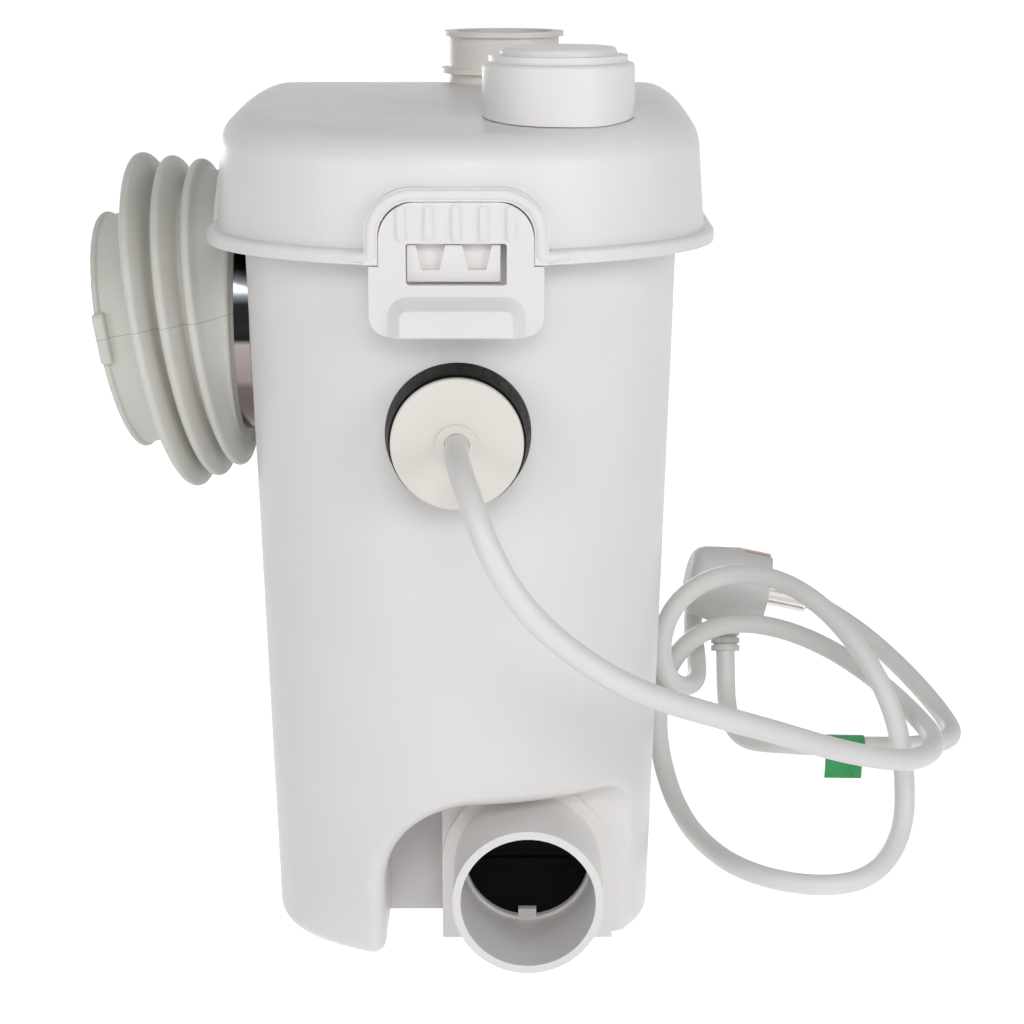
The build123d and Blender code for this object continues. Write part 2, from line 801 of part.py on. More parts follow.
# Gasket on the tank's top edge, under the lid's rib
with BuildPart() as lid_gasket:
    extrude(plan(tank_height, gasket_outer), amount=gasket_height)
    extrude(plan(tank_height, gasket_outer + tank_wall), amount=gasket_height, mode=Mode.SUBTRACT)
save(lid_gasket.part, "lid_gasket")


# Latches: a panel that swings out from the top of its notch, with a window, ribs and a finger tab
latch_inner = notch_bead_face - latch_thickness
latch_half_width = notch_half_width - latch_side_gap
latch_hinge_depth = notch_bead_face - latch_hinge_radius
wing_top = rim_height - latch_rim_gap
window_middle = window_foot_height + window_height / 2

with BuildPart() as latch_limit:
    with BuildSketch(Plane.YZ.offset(-latch_foot_half_width)) as latch_side:
        with BuildLine():
            Polyline(
                (-notch_bead_face, latch_foot_height),
                (-notch_bead_face, latch_hinge_height),
                (2 * latch_hinge_radius - notch_bead_face, latch_hinge_height),
                (-latch_inner, latch_hinge_height - latch_taper_height),
                (-latch_inner, latch_foot_height),
                (-notch_bead_face, latch_foot_height),
            )
        make_face()
    extrude(latch_side.sketch, amount=2 * latch_foot_half_width)
    bar(Plane.YZ.offset(-latch_half_width), -latch_hinge_depth, latch_hinge_height,
        latch_hinge_radius, 2 * latch_half_width)

with BuildPart() as front_latch:
    extrude(notch(front(latch_inner), latch_half_width, notch_height - latch_side_gap, latch_foot_height,
                  notch_corner_radius - latch_side_gap + latch_corner_relief), amount=latch_thickness)
    add(latch_limit.part, mode=Mode.INTERSECT)
    with BuildSketch(front(latch_inner)):
        with Locations((0, (wing_top + latch_foot_height) / 2)):
            Rectangle(2 * latch_foot_half_width, wing_top - latch_foot_height)
    extrude(amount=latch_thickness)
    low_edges = front_latch.edges().filter_by(Axis.Y).group_by(Axis.Z)[0]
    fillet(low_edges, latch_foot_radius)
    with BuildSketch(front(notch_bead_face)):
        rib_head_height = latch_hinge_height - latch_rib_head_drop
        rib_middle = (latch_rib_foot_height + rib_head_height) / 2
        with Locations((0, rib_middle)):
            with GridLocations(latch_rib_pitch, 0, latch_rib_count, 1):
                SlotOverall(rib_head_height - latch_rib_foot_height, latch_rib_width, rotation=90)
    extrude(amount=latch_rib_height)
    tab_top = latch_foot_height + finger_tab_height
    loft([notch(front(notch_bead_face), finger_tab_half_width, tab_top, latch_foot_height,
                finger_tab_corner_radius),
          notch(front(notch_bead_face + finger_tab_reach), finger_tab_half_width - finger_tab_slope,
                tab_top - finger_tab_slope, latch_foot_height, finger_tab_corner_radius - finger_tab_slope)])
    tab_edges = front_latch.faces().sort_by(Axis.Y)[0].edges()
    fillet(tab_edges, finger_tab_edge_radius)
    with BuildSketch(front(latch_inner)):
        with Locations((0, window_middle)):
            RectangleRounded(window_width, window_height, window_corner_radius)
    extrude(amount=latch_thickness, mode=Mode.SUBTRACT)
save(front_latch.part, "front_latch")

with BuildPart() as rear_latch:
    mirror(front_latch.part, about=Plane.XZ)
save(rear_latch.part, "rear_latch")


# Catches on the tank, with two pockets each and a sloped underside that the latch slides off
catch_face = latch_inner + catch_bite
catch_foot = window_foot_height + catch_foot_gap
catch_top = window_foot_height + window_height - catch_head_gap

with BuildPart() as front_catch:
    with BuildSketch(Plane.YZ.offset(catch_offset - catch_width / 2)):
        with BuildLine():
            Polyline(
                (catch_slope_depth - catch_face, catch_foot),
                (-catch_face, catch_foot + catch_slope_height),
                (-catch_face, catch_top),
                (-box_front, catch_top),
                (-box_front, catch_foot),
                (catch_slope_depth - catch_face, catch_foot),
            )
        make_face()
    extrude(amount=catch_width)
    with BuildSketch(front(catch_face)):
        with Locations((catch_offset, catch_top)):
            with GridLocations(catch_width / 2, 0, 2, 1):
                Polygon(
                    (-catch_pocket_width / 2, 0),
                    (-catch_pocket_foot_width / 2, -catch_pocket_height),
                    (catch_pocket_foot_width / 2, -catch_pocket_height),
                    (catch_pocket_width / 2, 0),
                    align=None,
                )
    extrude(amount=-catch_pocket_depth, mode=Mode.SUBTRACT)
    add(tank_block, mode=Mode.SUBTRACT)
save(front_catch.part, "front_catch")

with BuildPart() as rear_catch:
    mirror(front_catch.part, about=Plane.XZ)
save(rear_catch.part, "rear_catch")


# Vent: a stepped cap over a collar on the lid, with a carbon filter in the collar
with BuildPart() as vent_cap:
    post(vent_x, vent_y, gasket_top, vent_cap_side_top, vent_cap_radius)
    fillet(vent_cap.faces().sort_by(Axis.Z)[-1].edges(), vent_cap_edge_radius)
    post(vent_x, vent_y, vent_cap_side_top, vent_cap_step_top, vent_cap_step_radius)
    post(vent_x, vent_y, vent_cap_step_top, vent_cap_top, vent_cap_dome_radius)
    fillet(vent_cap.faces().sort_by(Axis.Z)[-1].edges(), vent_cap_edge_radius)
    post(vent_x, vent_y, gasket_top, vent_cap_side_top - vent_cap_wall,
         vent_cap_radius - vent_cap_wall, Mode.SUBTRACT)
    add(lid_block(rim_height, -vent_cap_gap, shoulder_radius), mode=Mode.SUBTRACT)
save(vent_cap.part, "vent_cap")

with BuildPart() as carbon_filter:
    post(vent_x, vent_y, gasket_top, crown_height + filter_height,
         vent_collar_radius - vent_collar_wall - filter_gap)
    add(lid_block(rim_height, 0, shoulder_radius), mode=Mode.SUBTRACT)
save(carbon_filter.part, "carbon_filter")


# Discharge sleeve: socket for the waste pipe on top, check valve chamber in the middle, seal at the foot
socket_floor = sleeve_top - socket_depth
seat_foot = socket_foot + pipe_socket_depth
pipe_hole = pipe_radius + pipe_seat_gap
valve_pin_x = discharge_x - valve_pin_offset
valve_pin_z = valve_seat_height + valve_pin_height
valve_pin_half_length = valve_knuckle_half_width + pin_ear_gap + valve_ear_thickness

with BuildPart() as discharge_sleeve:
    post(discharge_x, discharge_y, socket_foot, sleeve_top, sleeve_radius)
    post(discharge_x, discharge_y, sleeve_top - sleeve_bead_height, sleeve_top, sleeve_bead_radius)
    post(discharge_x, discharge_y, sleeve_flange_foot, sleeve_flange_foot + sleeve_flange_height,
         sleeve_flange_radius)
    post(discharge_x, discharge_y, socket_floor, sleeve_top, sleeve_bore_radius, Mode.SUBTRACT)
    post(discharge_x, discharge_y, valve_seat_height, socket_floor, sleeve_ledge_radius, Mode.SUBTRACT)
    post(discharge_x, discharge_y, seat_foot, valve_seat_height, valve_port_radius, Mode.SUBTRACT)
    post(discharge_x, discharge_y, socket_foot, seat_foot, pipe_hole, Mode.SUBTRACT)
    post(discharge_x, discharge_y, socket_foot, socket_foot + seal_ring_height,
         pipe_hole + seal_ring_width, Mode.SUBTRACT)
    ear_height_top = valve_pin_height + valve_knuckle_radius
    for side in (-1, 1):
        ear_y = discharge_y + side * (valve_knuckle_half_width + pin_ear_gap + valve_ear_thickness / 2)
        block(valve_pin_x - valve_ear_reach / 2, ear_y, valve_seat_height,
              valve_ear_reach + 2 * valve_pin_radius, valve_ear_thickness, ear_height_top)
    bar(Plane.XZ.offset(-discharge_y - valve_pin_half_length), valve_pin_x, valve_pin_z,
        valve_pin_radius + pin_seat_gap, 2 * valve_pin_half_length, Mode.SUBTRACT)
save(discharge_sleeve.part, "discharge_sleeve")

with BuildPart() as sleeve_seal:
    post(discharge_x, discharge_y, socket_foot, socket_foot + seal_ring_height,
         pipe_hole + seal_ring_width - pin_seat_gap)
    post(discharge_x, discharge_y, socket_foot, socket_foot + seal_ring_height, pipe_hole, Mode.SUBTRACT)
save(sleeve_seal.part, "sleeve_seal")

with BuildPart() as valve_pin:
    bar(Plane.XZ.offset(-discharge_y - valve_pin_half_length), valve_pin_x, valve_pin_z,
        valve_pin_radius, 2 * valve_pin_half_length)
save(valve_pin.part, "valve_pin")

with BuildPart() as valve_flap:
    flap_foot = valve_seat_height + valve_flap_gap
    post(discharge_x, discharge_y, flap_foot, flap_foot + valve_flap_thickness, valve_flap_radius)
    block(valve_pin_x + valve_pin_offset / 2, discharge_y, flap_foot, valve_pin_offset,
          2 * valve_knuckle_half_width, valve_flap_thickness)
    bar(Plane.XZ.offset(-discharge_y - valve_knuckle_half_width), valve_pin_x, valve_pin_z,
        valve_knuckle_radius, 2 * valve_knuckle_half_width)
    bar(Plane.XZ.offset(-discharge_y - valve_knuckle_half_width), valve_pin_x, valve_pin_z,
        valve_pin_radius + pin_running_gap, 2 * valve_knuckle_half_width, Mode.SUBTRACT)
save(valve_flap.part, "valve_flap")



# Low inlet flap: a rubber disc hung from a pin behind the inner mouth of the spigot
flap_front = inner_face - inlet_stub - flap_gap
pin_span = 2 * (ear_x + ear_thickness / 2)

with BuildPart() as inlet_flap:
    bar(front(flap_front), inlet_x, inlet_height, flap_radius, -flap_thickness)
    with BuildSketch(front(flap_front)):
        with Locations((inlet_x, (inlet_height + flap_pin_height) / 2)):
            Rectangle(2 * flap_knuckle_half_width, flap_pin_height - inlet_height)
    extrude(amount=-flap_thickness)
    knuckle_plane = Plane.YZ.offset(inlet_x - flap_knuckle_half_width)
    bar(knuckle_plane, -flap_pin_depth, flap_pin_height, flap_knuckle_radius, 2 * flap_knuckle_half_width)
    bar(knuckle_plane, -flap_pin_depth, flap_pin_height, flap_pin_radius + pin_running_gap,
        2 * flap_knuckle_half_width, Mode.SUBTRACT)
save(inlet_flap.part, "inlet_flap")

with BuildPart() as inlet_flap_pin:
    bar(Plane.YZ.offset(inlet_x - pin_span / 2), -flap_pin_depth, flap_pin_height, flap_pin_radius, pin_span)
save(inlet_flap_pin.part, "inlet_flap_pin")


# WC inlet: ribbed rubber bellows from a cuff on the spigot to a collar that takes the toilet's outlet
def wc_ring(distance, radius, sag=0, droop=0, yaw=0, offset=0):
    """Circle of the bellows on a plane that droops and turns back as the rubber does."""
    slope = radians(droop)
    turn = radians(yaw)
    aim = Vector(-cos(slope) * cos(turn), cos(slope) * sin(turn), -sin(slope))
    middle = Vector(-distance, 0, wc_height - sag) + aim * offset
    level = Vector(0, 0, 1).cross(aim)
    return Plane(middle, x_dir=level, z_dir=aim), radius


def ribs(half_thickness, foot_half_thickness, drop, foot_radius):
    """Circles of the ribs: foot, crest, crest, foot."""
    rings = []
    for index in range(rib_count):
        distance = rib_start + index * rib_pitch
        sag = rib_first_sag + index * rib_sag_step
        droop = rib_first_droop + index * rib_droop_step
        yaw = (index + 1) * rib_yaw_step
        crest = rib_first_radius + index * rib_radius_step - drop
        for offset, radius in (
            (-foot_half_thickness, foot_radius),
            (-half_thickness, crest),
            (half_thickness, crest),
            (foot_half_thickness, foot_radius),
        ):
            rings.append(wc_ring(distance, radius, sag, droop, yaw, offset))
    return rings


def collar(radius, start, end):
    """Circles of the collar beyond the last rib."""
    last = rib_count - 1
    place = (
        rib_start + last * rib_pitch,
        radius,
        rib_first_sag + last * rib_sag_step,
        rib_first_droop + last * rib_droop_step,
        rib_count * rib_yaw_step,
    )
    return [wc_ring(*place, start), wc_ring(*place, end)]


def ruled(rings):
    """Solid ruled from circle to circle."""
    sections = []
    for plane, radius in rings:
        with BuildSketch(plane, mode=Mode.PRIVATE) as face:
            Circle(radius)
        sections.append(face.sketch)
    with BuildPart(mode=Mode.PRIVATE) as shape:
        loft(sections, ruled=True)
    return shape.part


cuff_outer = wc_outer_radius + cuff_gap + cuff_thickness
bellows_outer = [
    wc_ring(cuff_start, cuff_outer),
    wc_ring(cuff_end, cuff_outer),
    wc_ring(lip_start, lip_radius, 0, lip_droop),
    wc_ring(lip_start + lip_thickness, lip_radius + rubber_wall / 2, rib_first_sag / 2,
            (lip_droop + rib_first_droop) / 2),
]
bellows_outer += ribs(rib_half_thickness, rib_foot_half_thickness, 0, valley_radius)[1:-1]
bellows_outer += collar(collar_radius, collar_root, collar_length)
bellows_inner = [
    wc_ring(cuff_start - cut_overrun, wc_outer_radius + cuff_gap),
    wc_ring(wc_spigot_end + cuff_gap, wc_outer_radius + cuff_gap),
    wc_ring(lip_start + rubber_wall, lip_radius - rubber_wall, rib_first_sag / 2,
            (lip_droop + rib_first_droop) / 2),
]
bellows_inner += ribs(rib_bore_half_thickness, rib_bore_foot_half_thickness, rib_bore_drop,
                      valley_bore_radius)[1:-1]
bellows_inner += collar(collar_bore_radius, collar_bore_root, collar_length + cut_overrun)
collar_plane = collar(collar_radius, 0, collar_length)[1][0]

with BuildPart() as wc_bellows:
    add(ruled(bellows_outer))
    bar(collar_plane, 0, 0, collar_bead_radius, -collar_bead_width)
    with BuildSketch(collar_plane):
        with Locations((collar_radius, 0)):
            RectangleRounded(2 * lug_reach, lug_height, lug_corner_radius)
    extrude(amount=-lug_width)
    add(ruled(bellows_inner), mode=Mode.SUBTRACT)
save(wc_bellows.part, "wc_bellows")

band_inner = cuff_outer + band_gap
band_outer = band_inner + band_thickness
band_start = (cuff_start + cuff_end - band_width) / 2
housing_y = band_outer + band_housing_height / 2 + band_gap
with BuildPart() as bellows_band:
    bar(left(band_start), *wc_centre, band_outer, band_width)
    bar(left(band_start), *wc_centre, band_inner, band_width, Mode.SUBTRACT)
save(bellows_band.part, "bellows_band")

with BuildPart() as band_screw:
    block(-band_start - band_width / 2, housing_y, wc_height - band_housing_length / 2,
          band_width, band_housing_height, band_housing_length)
    post(-band_start - band_width / 2, housing_y, wc_height - band_screw_length / 2,
         wc_height + band_screw_length / 2, band_screw_radius)
save(band_screw.part, "band_screw")


# Cord entry: rubber gland in the tank's wall, disc with a hub on its mouth, and the cord's inner end
wall_depth = rim_half_length - tank_inset(cord_hole_height)
disc_back = gland_face + disc_gap
hub_face = disc_back + disc_thickness + disc_hub_height

with BuildPart() as cable_gland:
    gland_back = box_front + disc_gap
    bar(front(gland_back), 0, cord_hole_height, cord_hole_radius - gland_side_gap, wall_depth - gland_back)
    with BuildSketch(front(wall_depth)) as gland_root:
        with Locations((0, cord_hole_height)):
            Circle(cord_hole_radius - gland_side_gap)
    with BuildSketch(front(gland_face)) as gland_mouth:
        with Locations((0, cord_hole_height)):
            Circle(gland_mouth_radius)
    loft()
    bar(front(gland_back), 0, cord_hole_height, cord_diameter / 2 + cord_gap, gland_face, Mode.SUBTRACT)
save(cable_gland.part, "cable_gland")

with BuildPart() as cord_disc:
    bar(front(disc_back), 0, cord_hole_height, disc_radius, disc_thickness)
    fillet(cord_disc.edges().sort_by(Axis.Y)[0], disc_hub_height / 2)
    bar(front(disc_back), 0, cord_hole_height, disc_hub_radius, disc_thickness + disc_hub_height)
    bar(front(disc_back), 0, cord_hole_height, cord_diameter / 2 + cord_gap, gland_face, Mode.SUBTRACT)
save(cord_disc.part, "cord_disc")

with BuildPart() as cord_tail:
    bar(front(tail_end), 0, cord_hole_height, cord_diameter / 2, hub_face - tail_end)
save(cord_tail.part, "cord_tail")


# Pump and motor: rubber mounts, volute, basket, bearing plate, motor can and cap, on one upright axis
def around(radius, count, turn=0.0):
    """Places evenly spaced round the shaft."""
    places = []
    for index in range(count):
        angle = radians(turn + index * 360 / count)
        places.append((radius * cos(angle), shaft_y + radius * sin(angle)))
    return places


def tube(foot, top, outer, inner):
    """Upright tube round the shaft, as a part of its own."""
    with BuildPart(mode=Mode.PRIVATE) as shape:
        post(0, shaft_y, foot, top, outer)
        post(0, shaft_y, foot, top, inner, Mode.SUBTRACT)
    return shape.part


shaft_hole = shaft_radius + running_gap
socket_radius = pipe_hole + pipe_socket_wall
socket_top = volute_top + pipe_socket_height

with BuildPart() as pump_mounts:
    for x, y in around(mount_circle_radius, mount_count, 90 / mount_count):
        post(x, y, tank_wall, tank_wall + mount_height, mount_radius)
save(pump_mounts.part, "pump_mounts")

with BuildPart() as pump_volute:
    post(0, shaft_y, volute_foot, volute_top, volute_radius)
    block(pipe_x, (pipe_y + shaft_y) / 2, volute_foot, volute_arm_width, shaft_y - pipe_y,
          volute_top - volute_foot)
    post(pipe_x, pipe_y, volute_foot, socket_top, socket_radius)
    arm_inner = volute_arm_width - 2 * volute_wall
    block(pipe_x, (pipe_y + shaft_y) / 2, volute_foot + volute_wall, arm_inner, shaft_y - pipe_y,
          volute_top - volute_foot - 2 * volute_wall, Mode.SUBTRACT)
    post(0, shaft_y, volute_foot + volute_wall, volute_top - volute_wall,
         volute_radius - volute_wall, Mode.SUBTRACT)
    post(0, shaft_y, volute_foot + volute_wall, volute_top, volute_eye_radius, Mode.SUBTRACT)
    post(pipe_x, pipe_y, volute_foot + volute_wall, socket_top, pipe_bore_radius, Mode.SUBTRACT)
    post(pipe_x, pipe_y, volute_top, socket_top, pipe_hole, Mode.SUBTRACT)
save(pump_volute.part, "pump_volute")

with BuildPart() as grinder_basket:
    add(tube(basket_foot, basket_top, basket_radius - basket_wall, basket_radius - 2 * basket_wall))
    add(tube(basket_foot, basket_foot + basket_wall, basket_radius - basket_wall, volute_eye_radius))
    slot_top = basket_top - basket_rim_height
    slot_foot = basket_foot + basket_rim_height
    with BuildSketch(Plane.XY.offset(slot_foot)):
        with Locations((0, shaft_y)):
            with PolarLocations(basket_radius - 2 * basket_wall, basket_slot_count,
                                180 / basket_slot_count - 90):
                Rectangle(4 * basket_wall, basket_slot_width)
    extrude(amount=slot_top - slot_foot, mode=Mode.SUBTRACT)
    door_width = 2 * (basket_radius - basket_wall) * sin(radians(180 * basket_door_slots / basket_slot_count))
    block(0, shaft_y - basket_radius, slot_foot, door_width, basket_radius,
          slot_top - slot_foot, Mode.SUBTRACT)
save(grinder_basket.part, "grinder_basket")

with BuildPart() as bearing_plate:
    post(0, shaft_y, basket_top, plate_top, plate_radius)
    post(0, shaft_y, plate_top, plate_top + bearing_height, bearing_radius + bearing_seat_wall)
    post(0, shaft_y, plate_top, plate_top + bearing_height, bearing_radius + screw_seat_gap, Mode.SUBTRACT)
    post(0, shaft_y, basket_top, plate_top, seal_radius + screw_seat_gap, Mode.SUBTRACT)
    for x, y in around(plate_screw_circle_radius, plate_screw_count):
        post(x, y, basket_top, plate_top, screw_radius + screw_seat_gap, Mode.SUBTRACT)
save(bearing_plate.part, "bearing_plate")

with BuildPart() as plate_screws:
    for x, y in around(plate_screw_circle_radius, plate_screw_count):
        post(x, y, basket_top, plate_top, screw_radius)
        post(x, y, plate_top, plate_top + screw_head_height, screw_head_radius)
save(plate_screws.part, "plate_screws")

with BuildPart() as shaft_seal:
    add(tube(basket_top, plate_top, seal_radius, shaft_hole))
save(shaft_seal.part, "shaft_seal")

with BuildPart() as lower_bearing:
    add(tube(plate_top, plate_top + bearing_height, bearing_radius, shaft_hole))
save(lower_bearing.part, "lower_bearing")

with BuildPart() as motor_can:
    add(tube(plate_top, motor_top, motor_radius, motor_radius - motor_wall))
save(motor_can.part, "motor_can")

with BuildPart() as motor_stator:
    add(tube(stator_foot, stator_top, stator_radius, stator_bore_radius))
save(motor_stator.part, "motor_stator")

with BuildPart() as motor_windings:
    add(tube(stator_foot - winding_height, stator_foot, winding_radius, winding_bore_radius))
    add(tube(stator_top, stator_top + winding_height, winding_radius, winding_bore_radius))
save(motor_windings.part, "motor_windings")

with BuildPart() as motor_cap:
    post(0, shaft_y, motor_top, motor_cap_top, motor_radius)
    fillet(motor_cap.edges().group_by(Axis.Z)[-1], motor_cap_wall)
    post(0, shaft_y, motor_top, motor_cap_top - motor_cap_wall, motor_radius - motor_wall, Mode.SUBTRACT)
    add(tube(shaft_top - bearing_height, motor_cap_top - motor_cap_wall,
             bearing_radius + bearing_seat_wall, bearing_radius + screw_seat_gap))
save(motor_cap.part, "motor_cap")

with BuildPart() as upper_bearing:
    add(tube(shaft_top - bearing_height, shaft_top, bearing_radius, shaft_hole))
save(upper_bearing.part, "upper_bearing")


# Rotor: shaft, motor core, impeller and cutter turn as one
with BuildPart() as motor_shaft:
    post(0, shaft_y, shaft_foot, shaft_top, shaft_radius)
save(motor_shaft.part, "motor_shaft")

with BuildPart() as motor_rotor:
    add(tube(stator_foot - rotor_end_gap, stator_top + rotor_end_gap, rotor_radius, shaft_radius))
save(motor_rotor.part, "motor_rotor")

impeller_foot = volute_foot + volute_wall + impeller_gap
vane_foot = impeller_foot + impeller_plate
with BuildPart() as impeller:
    add(tube(impeller_foot, vane_foot, impeller_radius, shaft_radius))
    add(tube(impeller_foot, impeller_foot + impeller_height, impeller_hub_radius, shaft_radius))
    with BuildSketch(Plane.XY.offset(vane_foot)):
        vane_length = impeller_radius - impeller_hub_radius
        with Locations((0, shaft_y)):
            vane_middle = (impeller_radius + impeller_hub_radius) / 2 - impeller_vane_thickness
            with PolarLocations(vane_middle, impeller_vane_count):
                Rectangle(vane_length, impeller_vane_thickness)
    extrude(amount=impeller_height - impeller_plate)
save(impeller.part, "impeller")

with BuildPart() as cutter_blade:
    add(tube(cutter_height, cutter_height + cutter_hub_height, cutter_hub_radius, shaft_radius))
    with BuildPart(mode=Mode.PRIVATE) as cutter_arms:
        block(0, shaft_y, cutter_height, 2 * cutter_length, cutter_width, cutter_thickness)
        for side in (-1, 1):
            block(side * (cutter_length - cutter_thickness / 2), shaft_y, cutter_height,
                  cutter_thickness, cutter_width, cutter_tip_height)
        post(0, shaft_y, cutter_height, cutter_height + cutter_hub_height, shaft_radius, Mode.SUBTRACT)
    add(cutter_arms.part)
save(cutter_blade.part, "cutter_blade")


# Discharge pipe: up from the volute's socket, over the motor and into the foot of the sleeve
with BuildPart() as discharge_pipe:
    with BuildLine() as pipe_line:
        pipe_path = FilletPolyline(
            (pipe_x, pipe_y, volute_top),
            (pipe_x, pipe_y, pipe_bend_height),
            (discharge_x, discharge_y, pipe_over_height),
            (discharge_x, discharge_y, pipe_top),
            radius=pipe_bend_radius,
        )
    with BuildSketch(Plane.XY.offset(volute_top)):
        with Locations((pipe_x, pipe_y)):
            Circle(pipe_radius)
            Circle(pipe_bore_radius, mode=Mode.SUBTRACT)
    sweep(path=pipe_path)
save(discharge_pipe.part, "discharge_pipe")


# Dry box: shell, cover and screws, with the capacitor, the terminal block and the micro switch inside
box_width = 2 * box_half_width
box_floor = box_foot + box_wall
screw_x = box_half_width - box_screw_inset
screw_y = box_depth / 2 - box_screw_inset
box_screw_places = []
for side_x in (-1, 1):
    for side_y in (-1, 1):
        box_screw_places.append((side_x * screw_x, box_y + side_y * screw_y))

with BuildPart() as dry_box:
    block(0, box_y, box_foot, box_width, box_depth, box_top - box_foot)
    block(0, box_y, box_floor, box_width - 2 * box_wall, box_depth - 2 * box_wall,
          box_top - box_floor, Mode.SUBTRACT)
    for x, y in box_screw_places:
        post(x, y, box_top - box_boss_height, box_top, box_boss_radius)
        post(x, y, box_top - box_boss_height, box_top, screw_radius + screw_seat_gap, Mode.SUBTRACT)
    bar(front(box_front - box_wall), 0, cord_hole_height, cord_diameter / 2 + cord_gap, box_wall, Mode.SUBTRACT)
    post(chamber_x, chamber_y, box_foot, box_floor, plunger_radius + plunger_gap, Mode.SUBTRACT)
save(dry_box.part, "dry_box")

with BuildPart() as dry_box_cover:
    block(0, box_y, box_top, box_width, box_depth, box_cover_height)
    for x, y in box_screw_places:
        post(x, y, box_top, box_top + box_cover_height, screw_radius + screw_seat_gap, Mode.SUBTRACT)
save(dry_box_cover.part, "dry_box_cover")

with BuildPart() as dry_box_screws:
    for x, y in box_screw_places:
        post(x, y, box_top - box_boss_height, box_top + box_cover_height, screw_radius)
        post(x, y, box_top + box_cover_height, box_top + box_cover_height + screw_head_height,
             screw_head_radius)
save(dry_box_screws.part, "dry_box_screws")

with BuildPart() as capacitor:
    post(capacitor_x, box_y, box_floor, box_floor + capacitor_height, capacitor_radius)
    fillet(capacitor.edges().group_by(Axis.Z)[-1], box_wall)
save(capacitor.part, "capacitor")

box_back_inside = -(box_back + box_wall)
with BuildPart() as terminal_block:
    block(terminal_x, box_back_inside - terminal_depth / 2, terminal_foot, terminal_length,
          terminal_depth, terminal_height)
    with BuildSketch(Plane.XY.offset(terminal_foot + terminal_height)):
        with Locations((terminal_x, box_back_inside - terminal_depth / 2)):
            with GridLocations(terminal_length / terminal_way_count, 0, terminal_way_count, 1):
                Circle(screw_radius)
    extrude(amount=-terminal_height / 2, mode=Mode.SUBTRACT)
save(terminal_block.part, "terminal_block")


# Pressure switch: air bell, chamber under the box, membrane, plunger, lever and micro switch
bell_top = box_foot - chamber_height
with BuildPart() as air_bell:
    post(bell_x, chamber_y, bell_mouth_top, bell_top, bell_radius)
    post(bell_x, chamber_y, bell_foot, bell_mouth_top, bell_mouth_radius)
    post(bell_x, chamber_y, bell_foot, bell_mouth_top - chamber_wall, bell_mouth_radius - chamber_wall,
         Mode.SUBTRACT)
    post(bell_x, chamber_y, bell_foot, bell_top, bell_bore_radius, Mode.SUBTRACT)
save(air_bell.part, "air_bell")

membrane_top = membrane_foot + membrane_thickness
with BuildPart() as pressure_chamber:
    post(chamber_x, chamber_y, bell_top, membrane_foot, chamber_radius)
    post(chamber_x, chamber_y, membrane_top, box_foot, chamber_radius)
    post(chamber_x, chamber_y, bell_top + chamber_wall, membrane_foot, chamber_radius - chamber_wall,
         Mode.SUBTRACT)
    post(chamber_x, chamber_y, membrane_top, box_foot, chamber_radius - chamber_wall, Mode.SUBTRACT)
    post(bell_x, chamber_y, bell_top, membrane_foot, bell_bore_radius, Mode.SUBTRACT)
save(pressure_chamber.part, "pressure_chamber")

with BuildPart() as pressure_membrane:
    post(chamber_x, chamber_y, membrane_foot, membrane_top, chamber_radius)
save(pressure_membrane.part, "pressure_membrane")

plunger_foot = membrane_top + plunger_gap
with BuildPart() as pressure_plunger:
    post(chamber_x, chamber_y, plunger_foot, plunger_foot + plunger_plate_height, plunger_plate_radius)
    post(chamber_x, chamber_y, plunger_foot, plunger_top, plunger_radius)
    fillet(pressure_plunger.edges().group_by(Axis.Z)[-1], plunger_plate_height)
save(pressure_plunger.part, "pressure_plunger")

lever_foot = plunger_top + lever_gap
lever_start = chamber_x - switch_pin_offset
lever_pin_z = lever_foot + lever_thickness / 2
lever_eye_radius = lever_pin_radius + running_gap + lever_thickness
with BuildPart() as switch_lever:
    block(lever_start + lever_length / 2, chamber_y, lever_foot, lever_length, lever_width, lever_thickness)
    bar(Plane.XZ.offset(-chamber_y - lever_width / 2), lever_start, lever_pin_z, lever_eye_radius, lever_width)
    bar(Plane.XZ.offset(-chamber_y - lever_width / 2), lever_start, lever_pin_z,
        lever_pin_radius + running_gap, lever_width, Mode.SUBTRACT)
save(switch_lever.part, "switch_lever")

switch_start = lever_start - lever_eye_radius
cheek_y = lever_width / 2 + plunger_gap
with BuildPart() as micro_switch:
    block(switch_start + switch_length / 2, chamber_y, switch_foot, switch_length,
          lever_width + 2 * plunger_gap + 2 * chamber_wall, switch_height)
    block(switch_start + switch_length / 2, (chamber_y + box_back_inside) / 2, switch_foot,
          switch_depth, box_back_inside - chamber_y, switch_height)
    for side in (-1, 1):
        block(lever_start, chamber_y + side * (cheek_y + chamber_wall / 2),
              lever_pin_z - lever_eye_radius, 2 * lever_eye_radius, chamber_wall,
              switch_foot + lever_eye_radius - lever_pin_z)
    post(lever_start + switch_pin_offset / 2, chamber_y, lever_foot + plunger_travel + lever_thickness,
         switch_foot, lever_thickness)
    bar(Plane.XZ.offset(-chamber_y - cheek_y - chamber_wall), lever_start, lever_pin_z,
        lever_pin_radius, 2 * (cheek_y + chamber_wall))
save(micro_switch.part, "micro_switch")


